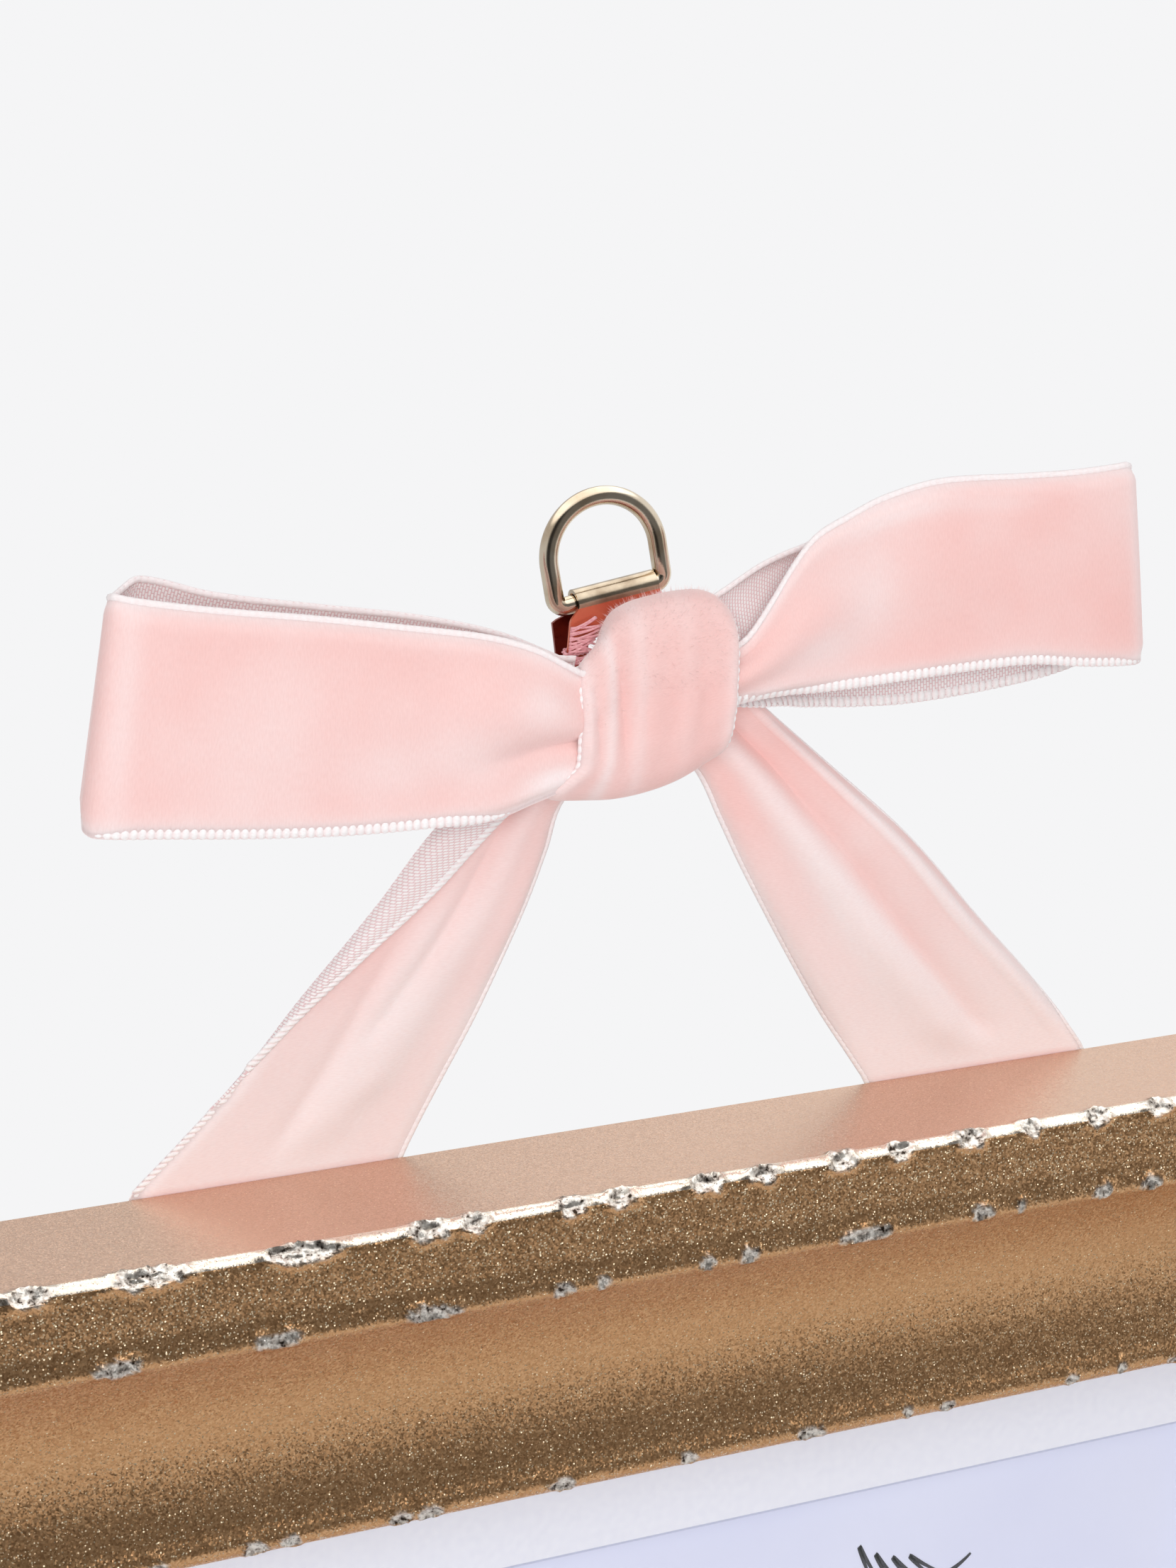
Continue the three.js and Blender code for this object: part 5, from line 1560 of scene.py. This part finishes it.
def sprig(shape, x, z, turn, length, bend):
    def at(along, aside):
        lean = turn + bend * along / length
        return (x + along * math.cos(lean) - aside * math.sin(lean),
                z + along * math.sin(lean) + aside * math.cos(lean))

    stroke(shape, [at(length * t, 0) for t in np.linspace(0, 1, 18)], STEM_STROKE)
    for k in range(1, 5):
        root = length * (0.15 + 0.2 * k)
        for side in (-1, 1):
            leaf = []
            for t in np.linspace(0, 1, 15):
                out = math.sin(math.pi * t)
                leaf.append(at(root + LEAF_RISE * (out + (t - 0.5) / 2), side * LEAF_WIDTH * out))
            stroke(shape, leaf, LEAF_STROKE)


def build_ink():
    shape = Shape()
    for row in range(SPRIG_ROWS):
        for column in range(SPRIG_COLUMNS):
            x = SPRIG_LEFT + (column + (row % 2) / 2) * SPRIG_STEP_X
            z = PRINT_HIGH.z - SPRIG_TOP_MARGIN - row * SPRIG_STEP_Z
            if x > SPRIG_RIGHT:
                continue
            turn = 0.7 + 2.1 * ((row * 3 + column * 2) % 5) / 2
            bend = SPRIG_BEND if column % 2 else -SPRIG_BEND
            sprig(shape, x - 6 * math.cos(turn), z - 6 * math.sin(turn), turn, SPRIG_LENGTH, bend)
            dot_x, dot_z = x + SPRIG_STEP_X / 2, z - SPRIG_STEP_Z / 2
            if dot_x < DOT_RIGHT and row < SPRIG_ROWS - 1:
                lathe(shape, [[INK_DOT, INK_Y], [INK_DOT * 0.95, INK_Y - INK_LIFT]], dot_x, dot_z, 24)
    shape.finish("inked_sprigs", [INK], "frame")


build_ink()


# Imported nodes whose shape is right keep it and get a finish
def dress(node, material):
    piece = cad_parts[node]
    piece.data.materials.clear()
    piece.data.materials.append(material)


dress("glass", glass_look())
dress("mat_board", mat_look())
dress("photo_print", print_look())
dress("filler_card", CARD)
dress("backing_board", HARDBOARD)
for corner_name in ("top_left", "top_right", "bottom_left", "bottom_right"):
    dress(f"corner_nail_{corner_name}", STEEL)


# Stage, light and camera
BACKGROUND = (245, 245, 246)
FRONT_LEVEL = 0.18
CAMERA_SIDE_LEVEL = 0.04
CEILING_LEVEL = 1.2
BACK_LEFT_LEVEL = 0.68
AMBIENT_LEVEL = 0.62
CAMERA_SIDE = (-0.35, 0.1)
BACK_LEFT = (0.15, 0.5)
FRONT = (-0.8, -0.42)
CEILING = (0.5, 0.68)
FLOOR_GAP = 3
FLOOR_RADIUS = 700
FLOOR_FADE = (0.35, 0.98)

# Lamps: name, place and target in metres, size, power
LAMPS = [
    ("key", (0.25, -0.55, 0.75), (0, 0, -0.08), 0.7, 1.5),
    ("fill", (-0.37, -0.86, 0.2), (0, 0, -0.1), 0.4, 3.9),
    ("back", (0.3, 0.9, 0.2), (0, 0, -0.2), 0.7, 1.8),
]


def build_floor():
    z = cad_box[0][2] / MM - FLOOR_GAP
    rings, segments = 24, 96
    points = []
    for i in range(1, rings + 1):
        r = FLOOR_RADIUS * i / rings
        points.extend((r * math.cos(turn), r * math.sin(turn), z) for turn in turns(segments))
    points.append((0, 0, z))
    faces = [face[::-1] for face in stack_faces(rings, segments, capped=False)]
    faces.extend((len(points) - 1, k, (k + 1) % segments) for k in range(segments))
    mesh = bpy.data.meshes.new("floor")
    mesh.from_pydata([tuple(c * MM for c in p) for p in points], [], faces)
    look = Look("pale_floor", (238, 238, 239), 0.9, Specular_IOR_Level=0.1)
    look.tint(look.grain(40, 3), (0.3, (236, 236, 237)), (0.7, (240, 240, 241)))
    far = look.node("VectorMath", look.place((1, 1, 0)), operation="LENGTH").outputs["Value"]
    near, end = (FLOOR_RADIUS * share * MM for share in FLOOR_FADE)
    fade = look.node("MapRange", value=far, from_min=near, from_max=end, to_min=1, to_max=0,
                     interpolation_type="SMOOTHSTEP")
    look.link(fade.outputs["Result"], "Alpha")
    mesh.materials.append(look.material)
    floor = bpy.data.objects.new("floor", mesh)
    bpy.context.collection.objects.link(floor)


def build_world():
    """A pale studio: seen directly it is even. In metal it is dark on the camera's side and has a
    bright ceiling panel, and on everything else it falls evenly."""
    world = bpy.data.worlds.new("studio")
    bpy.context.scene.world = world
    world.use_nodes = True
    tree = world.node_tree
    tree.nodes.clear()

    def step(value, limits, from_level, to_level):
        made = add_node(tree, "MapRange", value=value, from_min=limits[0], from_max=limits[1],
                        to_min=from_level, to_max=to_level, interpolation_type="SMOOTHSTEP")
        return made.outputs["Result"]

    def shown(strength):
        made = add_node(tree, "Background", color=rgba(BACKGROUND), strength=strength)
        return made.outputs["Background"]

    def pick(share, first, second):
        return add_node(tree, "MixShader", share, first, second).outputs["Shader"]

    facing = add_node(tree, "SeparateXYZ", add_node(tree, "TexCoord").outputs["Generated"]).outputs
    near_camera = step(facing["X"], CAMERA_SIDE, CAMERA_SIDE_LEVEL, FRONT_LEVEL)
    far = step(facing["X"], BACK_LEFT, BACK_LEFT_LEVEL, 1.0)
    front = step(facing["Y"], FRONT, near_camera, far)
    ceiling = step(facing["Z"], CEILING, 0.0, CEILING_LEVEL)
    room = add_node(tree, "Math", front, ceiling).outputs["Value"]
    path = add_node(tree, "LightPath").outputs
    lit = pick(path["Is Glossy Ray"], shown(AMBIENT_LEVEL), shown(room))
    lit = pick(path["Is Transmission Ray"], lit, shown(1.0))
    add_node(tree, "OutputWorld", pick(path["Is Camera Ray"], lit, shown(1.0)))


def lamp(name, place, target, size, power):
    light = bpy.data.lights.new(name, "AREA")
    light.shape = "DISK"
    light.size = size
    light.energy = power
    holder = bpy.data.objects.new(name, light)
    holder.location = place
    holder.visible_glossy = False
    aim = Vector(target) - Vector(place)
    holder.rotation_euler = aim.to_track_quat("-Z", "Y").to_euler()
    bpy.context.collection.objects.link(holder)


# The camera, solved from the photograph's lines: it looks down by 14 degrees and aside by 23
CAMERA_PLACE = Vector((-121.16, -282.29, 45.97))
CAMERA_ANGLES = (76.132, 0.599, -23.025)
FOCAL_PIXELS = 4200
IMAGE_HEIGHT = 2212
SENSOR = 36


def build_camera():
    data = bpy.data.cameras.new("camera")
    data.sensor_width = SENSOR
    data.lens = FOCAL_PIXELS * SENSOR / IMAGE_HEIGHT
    camera = bpy.data.objects.new("camera", data)
    turn = Euler([math.radians(angle) for angle in CAMERA_ANGLES])
    camera.matrix_world = Matrix.LocRotScale(CAMERA_PLACE * MM, turn, None)
    bpy.context.collection.objects.link(camera)
    bpy.context.scene.camera = camera


build_floor()
build_world()
for values in LAMPS:
    lamp(*values)
build_camera()
bpy.context.scene.view_settings.view_transform = "Standard"
